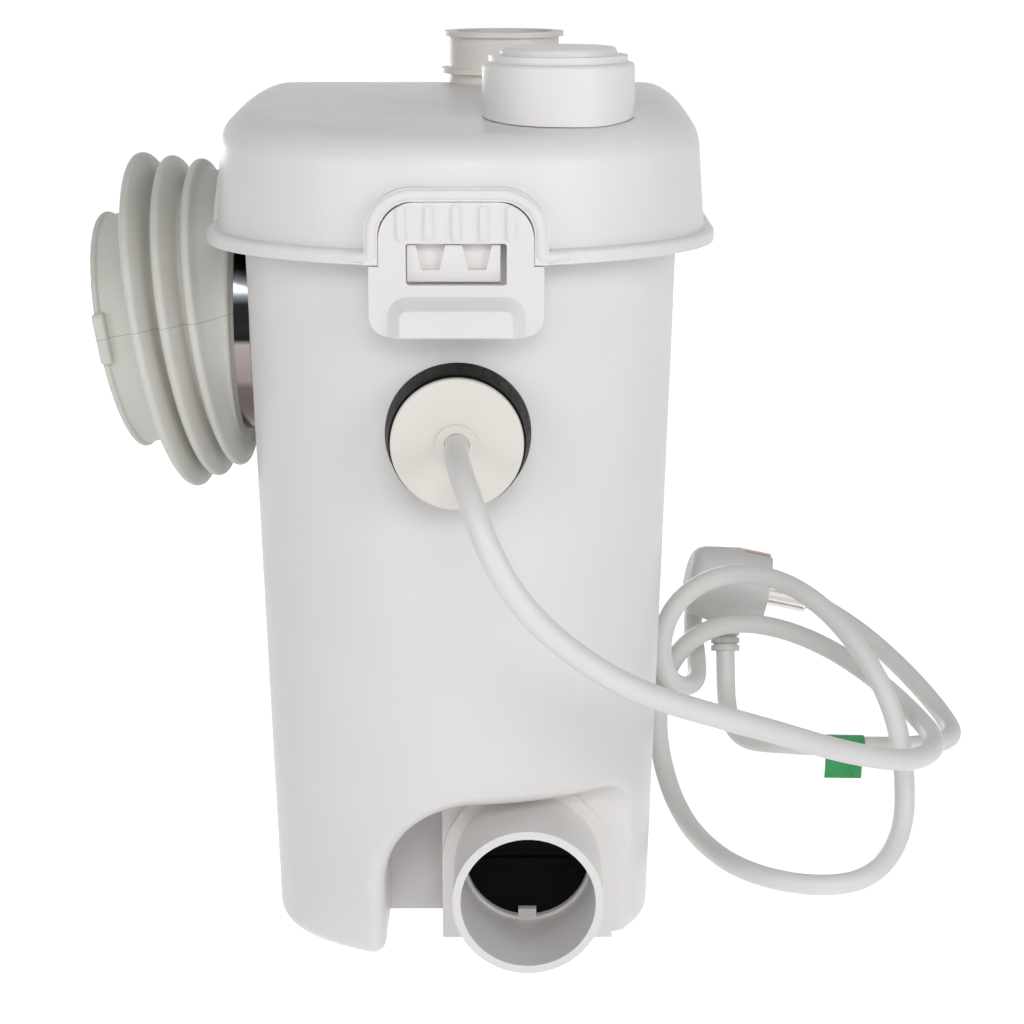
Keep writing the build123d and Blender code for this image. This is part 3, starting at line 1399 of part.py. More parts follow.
# Cords: straight runs joined by tangent bends, each bend as wide as its shorter run lets it be
def run_of_cord(points, diameter):
    """Round cord along a list of corners."""
    radii = []
    for before, corner, after in zip(points, points[1:], points[2:]):
        arrival = Vector(*corner) - Vector(*before)
        leaving = Vector(*after) - Vector(*corner)
        half_turn = radians(arrival.get_angle(leaving)) / 2
        radii.append(cord_bend_share * min(arrival.length, leaving.length) / tan(half_turn))
    print("bend radii", [round(radius) for radius in radii])
    with BuildPart() as run:
        with BuildLine() as line:
            FilletPolyline(*points, radius=radii)
        start = Vector(*points[1]) - Vector(*points[0])
        with BuildSketch(Plane(origin=points[0], z_dir=start)):
            Circle(diameter / 2)
        sweep(path=line.line)
    return run.part


mains_cord = run_of_cord(cord_points, cord_diameter)
save(mains_cord, "mains_cord")

motor_lead = run_of_cord(lead_points, lead_diameter)
save(motor_lead, "motor_lead")


# Mains plug: ribbed relief up from the cord's end, body across it, round pins and two earth contacts
def disc(plane, radius):
    """Round outline on a plane."""
    with BuildSketch(plane) as face:
        Circle(radius)
    return face.sketch


relief_axis = (Vector(*cord_points[-1]) - Vector(*cord_points[-2])).normalized()
relief_plane = Plane(origin=cord_points[-1], z_dir=relief_axis)
plug_centre = Vector(*cord_points[-1]) + relief_axis * relief_length
plug_axis = Vector(cos(radians(plug_tilt_angle)), 0, -sin(radians(plug_tilt_angle)))
plug_plane = Plane(origin=plug_centre, x_dir=(0, 1, 0), z_dir=plug_axis)
face_plane = plug_plane.offset(plug_length / 2)
groove_floor = plug_radius - earth_groove_depth

with BuildPart() as mains_plug:
    bar(plug_plane.offset(plug_length / 2 - plug_face_depth), 0, 0, plug_radius, plug_face_depth)
    loft([disc(plug_plane.offset(plug_length / 2 - plug_face_depth), plug_radius),
          disc(plug_plane.offset(-plug_length / 2), plug_back_radius)])
    back_edges = mains_plug.faces().sort_by(Axis(plug_centre, plug_axis))[0].edges()
    fillet(back_edges, plug_back_edge_radius)
    bar(relief_plane, 0, 0, relief_core_radius, relief_length)
    for index in range(relief_rib_count):
        bar(relief_plane.offset(index * relief_rib_pitch), 0, 0, relief_radius, relief_rib_width)
    with BuildSketch(face_plane):
        with GridLocations(0, 2 * plug_radius, 1, 2):
            Rectangle(earth_groove_width, 2 * earth_groove_depth)
    extrude(amount=-plug_face_depth, mode=Mode.SUBTRACT)
    with BuildSketch(face_plane):
        with GridLocations(pin_pitch, 0, 2, 1):
            Circle(pin_radius + pin_seat_gap)
    extrude(amount=-pin_seat_depth, mode=Mode.SUBTRACT)
save(mains_plug.part, "mains_plug")

with BuildPart() as plug_pins:
    with BuildSketch(face_plane.offset(-pin_seat_depth)):
        with GridLocations(pin_pitch, 0, 2, 1):
            Circle(pin_radius)
    extrude(amount=pin_seat_depth + pin_length)
    fillet(plug_pins.edges().sort_by(Axis(plug_centre, plug_axis))[-2:], pin_radius / 2)
save(plug_pins.part, "plug_pins")

with BuildPart() as plug_earth_contacts:
    with BuildSketch(face_plane):
        with GridLocations(0, 2 * groove_floor + earth_strip_thickness, 1, 2):
            Rectangle(earth_strip_width, earth_strip_thickness)
    extrude(amount=-earth_strip_length)
save(plug_earth_contacts.part, "plug_earth_contacts")


# Tag: a loop of sheet round a straight run of the cord, with both ends hanging down together
tag_start = Vector(*cord_points[tag_corner_count])
tag_run = Vector(*cord_points[tag_corner_count + 1]) - tag_start
tag_plane = Plane(origin=tag_start + tag_run / 2, x_dir=(0, 0, 1), z_dir=tag_run)
tag_radius = cord_diameter / 2 + tag_gap
with BuildPart() as cord_tag:
    with BuildSketch(tag_plane):
        Circle(tag_radius + tag_thickness)
        with Locations((-(tag_radius + tag_drop) / 2, 0)):
            Rectangle(tag_radius + tag_drop, 2 * tag_thickness)
        Circle(tag_radius, mode=Mode.SUBTRACT)
    extrude(amount=tag_length / 2, both=True)
save(cord_tag.part, "cord_tag")
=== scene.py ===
import bpy
import bmesh
from math import cos, pi, radians, sin
from mathutils import Matrix, Vector


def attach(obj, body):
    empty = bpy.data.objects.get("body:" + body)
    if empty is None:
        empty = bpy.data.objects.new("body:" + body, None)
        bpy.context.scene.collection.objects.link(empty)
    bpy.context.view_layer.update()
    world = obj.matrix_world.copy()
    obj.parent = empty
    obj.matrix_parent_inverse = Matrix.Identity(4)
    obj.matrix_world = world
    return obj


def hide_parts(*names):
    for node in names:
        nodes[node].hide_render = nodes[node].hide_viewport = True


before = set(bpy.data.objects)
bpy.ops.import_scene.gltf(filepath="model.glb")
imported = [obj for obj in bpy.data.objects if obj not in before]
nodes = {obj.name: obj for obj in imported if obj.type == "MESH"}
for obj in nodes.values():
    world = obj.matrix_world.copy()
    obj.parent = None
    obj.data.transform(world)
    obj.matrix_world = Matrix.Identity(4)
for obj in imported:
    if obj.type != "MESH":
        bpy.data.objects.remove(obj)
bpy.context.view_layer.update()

MM = 0.001


# Colours, shader nodes and the two kinds of finish
def linear(hexadecimal):
    """An sRGB colour such as E0DDDB as linear RGBA."""
    parts = [int(hexadecimal[i:i + 2], 16) / 255 for i in (0, 2, 4)]
    return [c / 12.92 if c <= 0.04045 else ((c + 0.055) / 1.055) ** 2.4 for c in parts] + [1.0]


def add(tree, kind, inputs=None, links=None, **settings):
    """Adds a node with its settings, its socket values and what feeds it."""
    made = tree.nodes.new("ShaderNode" + kind)
    for name, value in settings.items():
        setattr(made, name, value)
    for name, value in (inputs or {}).items():
        made.inputs[name].default_value = value
    for name, source in (links or {}).items():
        tree.links.new(source, made.inputs[name])
    return made


def finish_of(name):
    """An empty material with its object coordinates, shader and output."""
    material = bpy.data.materials.new(name)
    material.use_nodes = True
    tree = material.node_tree
    tree.nodes.clear()
    place = add(tree, "TexCoord").outputs["Object"]
    shader = add(tree, "BsdfPrincipled")
    add(tree, "OutputMaterial", links={"Surface": shader.outputs["BSDF"]})
    return material, tree, place, shader


def node_of(tree, kind):
    """The one node of its kind in a tree."""
    return next(node for node in tree.nodes if node.type == kind)


def noise_of(tree, place, size_mm, detail):
    """Noise whose patches have a real size."""
    return add(tree, "TexNoise", {"Scale": 1000 / size_mm, "Detail": detail},
               {"Vector": place}).outputs["Fac"]


def blotches(tree, place, size_mm, low, high):
    """Noise patches remapped to run from low to high."""
    return add(tree, "MapRange", {"From Min": 0.3, "From Max": 0.7, "To Min": low, "To Max": high},
               {"Value": noise_of(tree, place, size_mm, 4.0)}).outputs["Result"]


sink_mm = 45  # width of the shallow hollows that a moulding's face has


def moulded(name, shade, deep_shade, patch_mm, roughness, spread, grain_mm, relief_mm, ior=1.5,
            coat=0.0):
    """A moulded surface: faint patches of shade, uneven gloss and the fine grain of its mould."""
    material, tree, place, shader = finish_of(name)
    tone = add(tree, "Mix", {"A": linear(deep_shade), "B": linear(shade)},
               {"Factor": blotches(tree, place, patch_mm, 0.0, 1.0)}, data_type="RGBA")
    tree.links.new(tone.outputs["Result"], shader.inputs["Base Color"])
    tree.links.new(blotches(tree, place, patch_mm / 5, roughness - spread, roughness + spread),
                   shader.inputs["Roughness"])
    broad = add(tree, "Bump", {"Strength": 0.35, "Distance": 0.3 * MM},
                {"Height": noise_of(tree, place, sink_mm, 1.0)})
    bump = add(tree, "Bump", {"Strength": 0.5, "Distance": relief_mm * MM},
               {"Height": noise_of(tree, place, grain_mm, 3.0), "Normal": broad.outputs["Normal"]})
    tree.links.new(bump.outputs["Normal"], shader.inputs["Normal"])
    shader.inputs["IOR"].default_value = ior
    shader.inputs["Coat Weight"].default_value = coat
    return material


line_stretch = 60  # length of a tool line for each millimetre of its width


def lined_metal(name, shade, deep_shade, roughness, line_mm, axis):
    """Metal with fine lines square to one axis, a little coarser than real so that they show."""
    material, tree, place, shader = finish_of(name)
    stretch = [1000 / line_mm if i == axis else 1000 / (line_mm * line_stretch) for i in range(3)]
    lay = add(tree, "Mapping", {"Scale": stretch}, {"Vector": place}).outputs["Vector"]
    lines = add(tree, "TexNoise", {"Scale": 1.0, "Detail": 2.0}, {"Vector": lay})
    tone = add(tree, "Mix", {"A": linear(deep_shade), "B": linear(shade)},
               {"Factor": lines.outputs["Fac"]}, data_type="RGBA")
    tree.links.new(tone.outputs["Result"], shader.inputs["Base Color"])
    rough = add(tree, "MapRange", {"To Min": roughness * 0.7, "To Max": roughness * 1.4},
                {"Value": lines.outputs["Fac"]})
    tree.links.new(rough.outputs["Result"], shader.inputs["Roughness"])
    bump = add(tree, "Bump", {"Strength": 0.3, "Distance": 0.02 * MM},
               {"Height": lines.outputs["Fac"]})
    tree.links.new(bump.outputs["Normal"], shader.inputs["Normal"])
    shader.inputs["Metallic"].default_value = 1.0
    return material


# White polypropylene, injection moulded: satin, with broad soft highlights and a faint sink
white_polypropylene = moulded("white_polypropylene", "E9E7E5", "E4E2E1", 70, 0.36, 0.04, 0.9, 0.012)
# Ivory polypropylene of the sleeve and the disc: warmer and duller than the housing
ivory_polypropylene = moulded("ivory_polypropylene", "E6E2DC", "DFDBD5", 40, 0.42, 0.05, 0.8, 0.015)
# Thermoplastic rubber of the bellows: pale, slightly green, a soft gloss that breaks up, and a
# fine darker mould line along its side, where the mesh's own height "rise" passes nought
bellows_rubber = moulded("bellows_rubber", "DCDBD5", "D3D2CB", 30, 0.5, 0.07, 0.7, 0.02)
mould_line_half_mm = 0.16
tree = bellows_rubber.node_tree
shader = node_of(tree, "BSDF_PRINCIPLED")
level = add(tree, "Attribute", attribute_name="rise")
split = add(tree, "Math", {1: 0.0, 2: mould_line_half_mm}, {0: level.outputs["Fac"]},
            operation="COMPARE")
tone = shader.inputs["Base Color"].links[0].from_socket
darker = add(tree, "Mix", {"B": linear("B4B2A9")}, {"Factor": split.outputs[0], "A": tone},
             data_type="RGBA")
tree.links.new(darker.outputs["Result"], shader.inputs["Base Color"])
# Black nitrile rubber: nearly black with a dull, weak sheen
black_rubber = moulded("black_rubber", "171614", "100F0E", 18, 0.42, 0.06, 0.6, 0.03, ior=1.12)
# Soft PVC of the mains lead: smooth, a shade greyer than the housing, with a low gloss
cord_pvc = moulded("cord_pvc", "E6E5E3", "E0DFDD", 60, 0.42, 0.06, 0.8, 0.015)
# Soft PVC of the plug: the same compound, a little more matt
plug_pvc = moulded("plug_pvc", "DEDDDB", "D6D5D3", 25, 0.5, 0.05, 0.6, 0.02)
# Green polyester film of the tag: even colour and a slick gloss
tag_film = moulded("tag_film", "35A25C", "2C914F", 12, 0.3, 0.05, 0.5, 0.01)
# Grey polypropylene of the inner mouldings: plain mid grey, satin
grey_polypropylene = moulded("grey_polypropylene", "B9BABC", "ACADB0", 35, 0.45, 0.05, 0.8, 0.02)
# Black glass filled nylon: dull, with a visible grain
black_nylon = moulded("black_nylon", "2A2A2C", "202022", 20, 0.55, 0.06, 0.5, 0.03)
# White polybutylene of the capacitor's can: a cooler white, a little glossier
capacitor_case = moulded("capacitor_case", "E2E2DE", "D8D8D3", 30, 0.35, 0.04, 0.8, 0.01)
# Open cell foam with activated carbon: black and deeply pitted
carbon_foam = moulded("carbon_foam", "1C1C1C", "0C0C0C", 4, 0.95, 0.03, 1.6, 0.5)
# Polished stainless steel strip of the band: broad dark and light bars painted over its height,
# a painted reflection of a dark room put into its colour
polished_steel = lined_metal("polished_steel", "D9D8D6", "C6C5C3", 0.14, 0.4, 0)
band_foot, band_top = 184, 284
painted_reflection_bars = [(0.0, "4A4240"), (0.24, "5E5553"), (0.27, "857B78"), (0.42, "978E8B"), (0.44, "1B1B1C"),
        (0.58, "2A2A2C"), (0.61, "7F858A"), (0.65, "B9BEC2"), (0.69, "5C6064"), (0.71, "161617"),
        (1.0, "0F0F10")]
tree = polished_steel.node_tree
shader = node_of(tree, "BSDF_PRINCIPLED")
place = node_of(tree, "TEX_COORD").outputs["Object"]
height = add(tree, "SeparateXYZ", links={"Vector": place})
share = add(tree, "MapRange", {"From Min": band_foot * MM, "From Max": band_top * MM},
            {"Value": height.outputs["Z"]})
# Painted reflection: a ramp of dark and light bars by height goes into the base colour
painted_reflection_ramp = add(tree, "ValToRGB", links={"Fac": share.outputs["Result"]})
while len(painted_reflection_ramp.color_ramp.elements) < len(painted_reflection_bars):
    painted_reflection_ramp.color_ramp.elements.new(0.5)
for element, (spot, shade) in zip(painted_reflection_ramp.color_ramp.elements, painted_reflection_bars):
    element.position = spot
    element.color = linear(shade)
tree.links.new(painted_reflection_ramp.outputs["Color"], shader.inputs["Base Color"])
# Turned stainless steel of shafts, screws and the grinder: bright, with fine rings round them
turned_stainless = lined_metal("turned_stainless", "CFCECC", "B9B8B6", 0.25, 0.5, 2)
# Lacquered motor steel: dark grey under a thin clear coat
lacquered_steel = moulded("lacquered_steel", "6C6F73", "63666A", 25, 0.4, 0.08, 0.6, 0.02, coat=0.3)
# Enamelled copper of the windings and bare copper of the earth contacts: warm, finely lined
bare_copper = lined_metal("bare_copper", "C98F6B", "B67C58", 0.3, 0.3, 2)
# Nickel plated brass of the plug's pins: pale and bright, with fine lines across
nickel_plate = lined_metal("nickel_plate", "D8D6D0", "C9C7C0", 0.18, 0.3, 0)

finishes = {
    white_polypropylene: "tank lid front_latch rear_latch front_catch rear_catch vent_cap",
    ivory_polypropylene: "discharge_sleeve cord_disc",
    bellows_rubber: "wc_bellows",
    black_rubber: "base_pads lid_gasket sleeve_seal valve_flap inlet_flap shaft_seal pump_mounts "
                  "pressure_membrane cable_gland",
    cord_pvc: "mains_cord cord_tail motor_lead",
    plug_pvc: "mains_plug",
    tag_film: "cord_tag",
    grey_polypropylene: "pump_volute impeller motor_cap dry_box dry_box_cover air_bell "
                        "pressure_chamber pressure_plunger switch_lever discharge_pipe",
    black_nylon: "bearing_plate micro_switch terminal_block",
    capacitor_case: "capacitor",
    carbon_foam: "carbon_filter",
    polished_steel: "bellows_band",
    turned_stainless: "band_screw inlet_flap_pin valve_pin plate_screws dry_box_screws "
                      "cutter_blade motor_shaft upper_bearing lower_bearing grinder_basket",
    lacquered_steel: "motor_can motor_stator motor_rotor",
    bare_copper: "motor_windings plug_earth_contacts",
    nickel_plate: "plug_pins",
}
for finish, names in finishes.items():
    for name in names.split():
        nodes[name].data.materials.clear()
        nodes[name].data.materials.append(finish)


def soften(name, width_mm):
    """Rounds the sharp edges of a CAD node as its mould does."""
    piece = nodes[name]
    for face in piece.data.polygons:
        face.use_smooth = True
    weld = piece.modifiers.new("weld", "WELD")
    weld.merge_threshold = 0.004 * MM
    flat = piece.modifiers.new("flat", "DECIMATE")
    flat.decimate_type = "DISSOLVE"
    flat.angle_limit = radians(0.6)
    edge = piece.modifiers.new("edge", "BEVEL")
    edge.width = width_mm * MM
    edge.segments = 3
    edge.limit_method = "ANGLE"
    edge.angle_limit = radians(28)
    edge.harden_normals = False
    edge.use_clamp_overlap = True
    sheen = piece.modifiers.new("sheen", "WEIGHTED_NORMAL")
    sheen.keep_sharp = True


def tube(name, kind, points, radius, round_steps, finish, length_steps=12, capped=True):
    """A round tube along a curve, its points and its radius in metres."""
    curve = bpy.data.curves.new(name, "CURVE")
    curve.dimensions = "3D"
    line = curve.splines.new(kind)
    line.points.add(len(points) - 1)
    for point, spot in zip(line.points, points):
        point.co = (*spot, 1.0)
    if kind == "NURBS":
        line.order_u = 3
        line.use_endpoint_u = True
    curve.resolution_u = length_steps
    curve.bevel_depth = radius
    curve.bevel_resolution = round_steps
    curve.use_fill_caps = capped
    curve.materials.append(finish)
    made = bpy.data.objects.new(name, curve)
    bpy.context.scene.collection.objects.link(made)
    return made


# Mains cord: one smooth curve through the run that its solid has
cord_route = [
    (0, -0.1486, 0.2076), (0, -0.163, 0.2076), (0.002, -0.178, 0.2045), (0.006, -0.19, 0.196),
    (0.011, -0.197, 0.184), (0.018, -0.199, 0.1705), (0.028, -0.196, 0.157), (0.041, -0.19, 0.144),
    (0.056, -0.183, 0.132), (0.073, -0.173, 0.122), (0.094, -0.161, 0.112), (0.115, -0.145, 0.101),
    (0.137, -0.122, 0.087), (0.16, -0.092, 0.072), (0.182, -0.059, 0.059), (0.197, -0.024, 0.054),
    (0.19, 0.008, 0.058), (0.176, 0.032, 0.066), (0.158, 0.05, 0.074), (0.138, 0.062, 0.079),
    (0.118, 0.067, 0.08), (0.101, 0.068, 0.073), (0.09, 0.067, 0.06), (0.085, 0.063, 0.044),
    (0.085, 0.053, 0.027), (0.089, 0.036, 0.012), (0.095, 0.012, 0.005), (0.102, -0.014, 0.0045),
    (0.112, -0.036, 0.0045), (0.127, -0.051, 0.0045), (0.145, -0.057, 0.0045),
    (0.162, -0.053, 0.005), (0.175, -0.04, 0.009), (0.183, -0.027, 0.02), (0.184, -0.018, 0.036),
    (0.182, -0.014, 0.054), (0.176, -0.007, 0.072), (0.165, 0.006, 0.089), (0.151, 0.021, 0.102),
    (0.135, 0.034, 0.109), (0.117, 0.042, 0.11), (0.101, 0.045, 0.104), (0.089, 0.043, 0.093),
    (0.084, 0.039, 0.078), (0.087, 0.04, 0.063), (0.095, 0.05, 0.054), (0.103, 0.066, 0.052),
    (0.104, 0.084, 0.058), (0.103, 0.101, 0.067), (0.105, 0.116, 0.076), (0.112, 0.128, 0.083),
    (0.126, 0.134, 0.085), (0.144, 0.131, 0.081), (0.163, 0.121, 0.073), (0.18, 0.107, 0.065),
    (0.195, 0.09, 0.055), (0.207, 0.071, 0.045), (0.214, 0.053, 0.038), (0.214, 0.036, 0.037),
    (0.206, 0.023, 0.038), (0.192, 0.017, 0.0385), (0.177, 0.015, 0.039), (0.149, 0.014, 0.0398),
    (0.134, 0.022, 0.038), (0.124, 0.036, 0.034), (0.119, 0.053, 0.033), (0.117, 0.069, 0.038),
    (0.117, 0.079, 0.048), (0.117, 0.084, 0.061),
]
cord_radius = 4.3
mains_lead = tube("mains_lead", "NURBS", cord_route, cord_radius * MM, 7, cord_pvc,
                  length_steps=6, capped=False)
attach(mains_lead, "tank_unit")
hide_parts("mains_cord")


def rounded_block(size_mm, thickness, corner_mm, corner_steps, rim_mm, rim_steps):
    """A block rounded at its corners along the axis of its thickness, then at its two rims."""
    block = bmesh.new()
    bmesh.ops.create_cube(block, size=1)
    bmesh.ops.scale(block, verts=block.verts, vec=[side * MM for side in size_mm])

    def run(edge):
        return abs(edge.verts[0].co[thickness] - edge.verts[1].co[thickness])

    corners = [edge for edge in block.edges if run(edge) > MM]
    bmesh.ops.bevel(block, geom=corners, offset=corner_mm * MM, segments=corner_steps,
                    profile=0.5, affect="EDGES", material=-1)
    rims = [edge for edge in block.edges if run(edge) < 0.01 * MM]
    bmesh.ops.bevel(block, geom=rims, offset=rim_mm * MM, segments=rim_steps,
                    profile=0.5, affect="EDGES", material=-1)
    return block


def piece_from(name, sheet, material, body, smooth=40):
    """An object from a bmesh, its doubles merged and its faces turned outward."""
    bmesh.ops.remove_doubles(sheet, verts=sheet.verts, dist=0.002 * MM)
    bmesh.ops.recalc_face_normals(sheet, faces=sheet.faces)
    mesh = bpy.data.meshes.new(name)
    sheet.to_mesh(mesh)
    sheet.free()
    mesh.materials.append(material)
    mesh.shade_smooth()
    made = bpy.data.objects.new(name, mesh)
    bpy.context.scene.collection.objects.link(made)
    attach(made, body)
    mesh.set_sharp_from_angle(angle=radians(smooth))
    return made


# Bellows: a turned section, each fin of which then drops, droops and turns back as the rubber
# does. Distances run outward from the pump's middle and radii from the WC axis, in millimetres.
wc_level = 234.0
fin_start, fin_pitch, fin_count = 98.4, 10.2, 3
crest_start, crest_growth = 62.5, 2.95
fins = [(fin_start + i * fin_pitch, crest_start + crest_growth * i) for i in range(fin_count)]
lip = 137.3
foot_mm = 3.0  # stretch behind each plane that stays flat
seam_climb = 0.085  # height that the mould line gains for each millimetre towards the front


class Ring:
    """The plane that one stretch of the bellows stands square to."""

    def __init__(self, distance, sag, droop, yaw):
        slope, turn = radians(droop), radians(yaw)
        self.distance = distance
        self.aim = Vector((-cos(slope) * cos(turn), cos(slope) * sin(turn), -sin(slope)))
        self.middle = Vector((-distance, 0, wc_level - sag))
        self.level = Vector((0, 0, 1)).cross(self.aim).normalized()
        self.up = self.aim.cross(self.level)

    def place(self, distance, across, height):
        """The spot at this distance, offset and height once the stretch has drooped."""
        return (self.middle + self.aim * (distance - self.distance) + self.level * across
                + self.up * height)


rings = [Ring(88.6, 0, 0, 0)]
rings += [Ring(centre, 3.1 + 1.5 * i, 7.6 + 1.1 * i, 3.4) for i, (centre, crest) in enumerate(fins)]
rings += [Ring(126.5, 8.2, 9.7, 3.1)]


def bent(distance, across, height):
    """Moves a point of the straight bellows to its place on the drooping one."""
    for near, far in zip(rings, rings[1:]):
        if distance < far.distance:
            start = near.distance + (foot_mm if near is not rings[0] else 0)
            share = min(max((distance - start) / (far.distance - foot_mm - start), 0), 1)
            share = share * share * (3 - 2 * share)
            held = near.place(distance, across, height)
            return held.lerp(far.place(distance, across, height), share)
    return rings[-1].place(distance, across, height)


def arc(centre, middle, radius, start, end, steps):
    """Points of an arc, its angles in degrees from the first coordinate to the second."""
    made = []
    for i in range(steps + 1):
        turn = radians(start + (end - start) * i / steps)
        made.append((centre + radius * cos(turn), middle + radius * sin(turn)))
    return made


section = [(82.0, 46.15), (82.0, 48.6)] + arc(82.7, 48.6, 0.7, 180, 90, 3)
section += [(88.3, 49.3), (89.0, 49.7), (89.4, 50.6), (89.6, 52.6)]
section += arc(90.9, 53.2, 1.3, 170, 75, 5)
for i, (centre, crest) in enumerate(fins):
    if i == 0:
        section += [(92.6, 55.8), (94.6, 57.7), (96.0, 59.5)]
    else:
        section += [(centre - 5.0, 55.2), (centre - 4.4, 57.4), (centre - 3.4, crest - 4.6),
                    (centre - 2.4, crest - 2.5)]
    section += arc(centre, crest - 2.1, 2.1, 140, 0, 10)
    if i < fin_count - 1:
        section += [(centre + 2.4, 58.0), (centre + 3.0, 55.6)]
        section += arc(centre + 4.1, 55.0, 1.0, 180, 350, 6)
end_fin = fins[-1][0]
section += [(end_fin + 2.2, 62), (end_fin + 2.6, 56), (end_fin + 3.1, 51), (end_fin + 3.9, 48.6),
            (end_fin + 5.4, 47.2), (end_fin + 7.5, 46.8), (lip - 2.3, 46.8), (lip - 1.5, 47.1)]
section += arc(lip, 46.8, 1.4, 165, 0, 9)
section += [(lip + 1.6, 45.4), (lip + 1.7, 44.2)] + arc(lip + 1.0, 44.2, 0.7, 0, -90, 4)
section += [(end_fin + 4.0, 43.5), (end_fin + 1.6, 45.4)]
for centre, crest in reversed(fins):
    section += [(centre + 1.2, 51.6), (centre + 0.4, crest - 4.4), (centre - 0.6, crest - 4.6),
                (centre - 3.4, 52.6)]
section += [(91.9, 50.6), (90.6, 48.0), (90.1, 46.15)]
turned = bmesh.new()
rise = turned.verts.layers.float.new("rise")
corners = [turned.verts.new((-d * MM, 0, (wc_level + r) * MM)) for d, r in section]
edges = [turned.edges.new(pair) for pair in zip(corners, corners[1:] + corners[:1])]
bmesh.ops.spin(turned, geom=corners + edges, cent=(0, 0, wc_level * MM), axis=(1, 0, 0),
               angle=2 * pi, steps=128, use_merge=True)
for vert in turned.verts:
    x, y, z = vert.co / MM
    vert[rise] = z - wc_level + seam_climb * y
    vert.co = bent(-x, -y, z - wc_level) * MM
bellows = piece_from("bellows", turned, bellows_rubber, "tank_unit", 60)
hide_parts("wc_bellows")

# Pull lug on the near side of the bellows' collar
end_ring = rings[-1]
lug = rounded_block((4.8, 6.8, 20.4), 0, 2.3, 5, 1.3, 4)
rise = lug.verts.layers.float.new("rise")
for vert in lug.verts:
    vert[rise] = vert.co.z / MM
turn_back = Matrix((-end_ring.aim, -end_ring.level, end_ring.up)).transposed()
bmesh.ops.transform(lug, matrix=turn_back.to_4x4(), verts=lug.verts)
bmesh.ops.translate(lug, verts=lug.verts, vec=end_ring.place(lip - 0.9, 47.2, 4.0) * MM)
collar_lug = piece_from("collar_lug", lug, bellows_rubber, "tank_unit")

# Rounded bead round each latch's notch, which curls into the lid's lower bead at its feet
bead_radius, lip_radius, lip_stand = 2.4, 0.45, 139.9
arch_points = [(-38.5, 136.2, 272.6), (-34.0, 138.4, 272.6), (-29.6, 140.2, 272.6),
               (-29.6, 140.2, 276.0), (-29.6, 140.2, 283.9), (-25.8, 140.2, 290.7),
               (-19.1, 140.2, 294.5), (-8.0, 140.2, 294.5)]
arch_points += [(-x, y, z) for x, y, z in reversed(arch_points)]
seam = [(-27.6, 272.6)] + arc(-14.7, 279.4, 12.9, 180, 90, 14)
seam += [(-x, z) for x, z in reversed(seam)]
for side, facing in (("front", -1), ("rear", 1)):
    spots = [(x * MM, facing * y * MM, z * MM) for x, y, z in arch_points]
    arch_bead = tube(side + "_arch_bead", "NURBS", spots, bead_radius * MM, 6,
                     white_polypropylene, length_steps=8)
    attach(arch_bead, "lid")
    # Rounded lip that closes the seam between the bead and the latch
    spots = [(x * MM, facing * lip_stand * MM, z * MM) for x, z in seam]
    arch_lip = tube(side + "_arch_lip", "POLY", spots, lip_radius * MM, 4, white_polypropylene)
    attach(arch_lip, "lid")

# Stiffening bar across the face of the low inlet's flap
bar = rounded_block((34, 1.8, 4.6), 1, 2.2, 5, 0.6, 3)
bmesh.ops.translate(bar, verts=bar.verts, vec=(25.3 * MM, -90.3 * MM, 28.6 * MM))
flap_bar = piece_from("flap_bar", bar, black_rubber, "inlet_flap")

for name, width_mm in (("front_latch", 0.5), ("rear_latch", 0.5), ("cord_disc", 0.8),
                       ("cable_gland", 1.2), ("discharge_sleeve", 0.6), ("vent_cap", 0.8),
                       ("lid", 0.6), ("tank", 0.8), ("mains_plug", 0.6), ("inlet_flap", 0.5)):
    soften(name, width_mm)


def looked_at(tree):
    """One for the rays that the camera, a mirror or a clear piece sends, nought for the rest."""
    path = add(tree, "LightPath")
    direct = add(tree, "Math", operation="MAXIMUM",
                 links={0: path.outputs["Is Camera Ray"], 1: path.outputs["Is Glossy Ray"]})
    return add(tree, "Math", operation="MAXIMUM",
               links={0: direct.outputs[0], 1: path.outputs["Is Transmission Ray"]}).outputs[0]


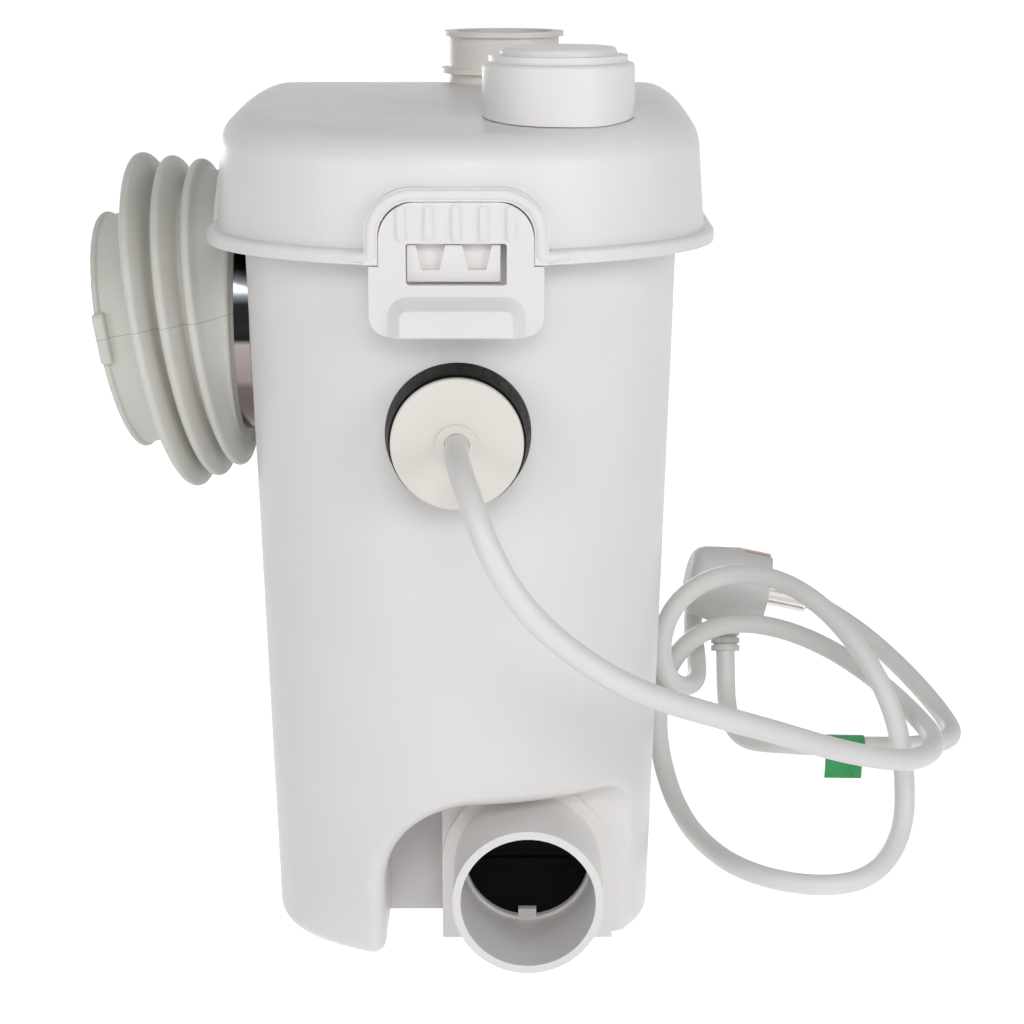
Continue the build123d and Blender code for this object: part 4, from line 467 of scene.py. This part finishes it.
# Stage: a pale floor and sky that look nearly white but light the pump weakly, soft lamps and
# the camera. Each pair is the strength for the rays that light and for those that look.
floor_glow = (0.28, 0.86)
sky_glow = (0.19, 1.0)
white = (1, 1, 1, 1)
floor_mesh = bpy.data.meshes.new("floor")
sheet = bmesh.new()
bmesh.ops.create_grid(sheet, x_segments=1, y_segments=1, size=40)
sheet.to_mesh(floor_mesh)
sheet.free()
floor = bpy.data.objects.new("floor", floor_mesh)
bpy.context.scene.collection.objects.link(floor)
floor_paper, tree, place, shader = finish_of("floor_paper")
shader.inputs["Base Color"].default_value = linear("F2F2F3")
shader.inputs["Roughness"].default_value = 0.9
shader.inputs["Specular IOR Level"].default_value = 0.2
shader.inputs["Emission Color"].default_value = white
glow = add(tree, "MapRange", {"To Min": floor_glow[0], "To Max": floor_glow[1]},
           {"Value": looked_at(tree)})
tree.links.new(glow.outputs["Result"], shader.inputs["Emission Strength"])
floor_mesh.materials.append(floor_paper)

world = bpy.data.worlds.new("studio")
bpy.context.scene.world = world
world.use_nodes = True
tree = world.node_tree
tree.nodes.clear()
level = add(tree, "MapRange", {"To Min": sky_glow[0], "To Max": sky_glow[1]},
            {"Value": looked_at(tree)})
sky = add(tree, "Background", {"Color": white}, {"Strength": level.outputs["Result"]})
add(tree, "OutputWorld", links={"Surface": sky.outputs["Background"]})


def lamp(name, place, aim, width, height, power):
    """A soft box that faces a spot, in metres and watts."""
    data = bpy.data.lights.new(name, "AREA")
    data.shape = "RECTANGLE"
    data.size = width
    data.size_y = height
    data.energy = power
    box = bpy.data.objects.new(name, data)
    bpy.context.scene.collection.objects.link(box)
    box.location = place
    box.rotation_euler = (Vector(aim) - Vector(place)).to_track_quat("-Z", "Y").to_euler()


lamp("left_box", (-1.2, -1.4, 0.7), (0, 0, 0.1), 0.9, 0.9, 6)
lamp("right_box", (1.25, -1.35, 0.7), (0.05, 0, 0.08), 0.9, 0.9, 8.5)
lamp("front_box", (0.1, -1.6, 1.05), (0.02, 0, 0.06), 0.8, 0.5, 7)
lamp("top_box", (0, 0.9, 1.5), (0, 0, 0.3), 1.2, 0.8, 0.6)
lamp("rear_box", (-0.5, 1.8, 0.15), (0, 0, 0.12), 1.6, 0.25, 7)

camera_lens, camera_fall = 84.4, 13.9  # millimetres, and degrees below level
scene = bpy.context.scene
scene.view_settings.view_transform = "Standard"
camera_data = bpy.data.cameras.new("camera")
camera_data.sensor_width = 36
camera_data.lens = camera_lens
camera = bpy.data.objects.new("camera", camera_data)
scene.collection.objects.link(camera)
camera.location = (0.0193, -0.9679, 0.3867)
camera.rotation_euler = (radians(90 - camera_fall), 0, 0)
scene.camera = camera

bpy.context.view_layer.update()
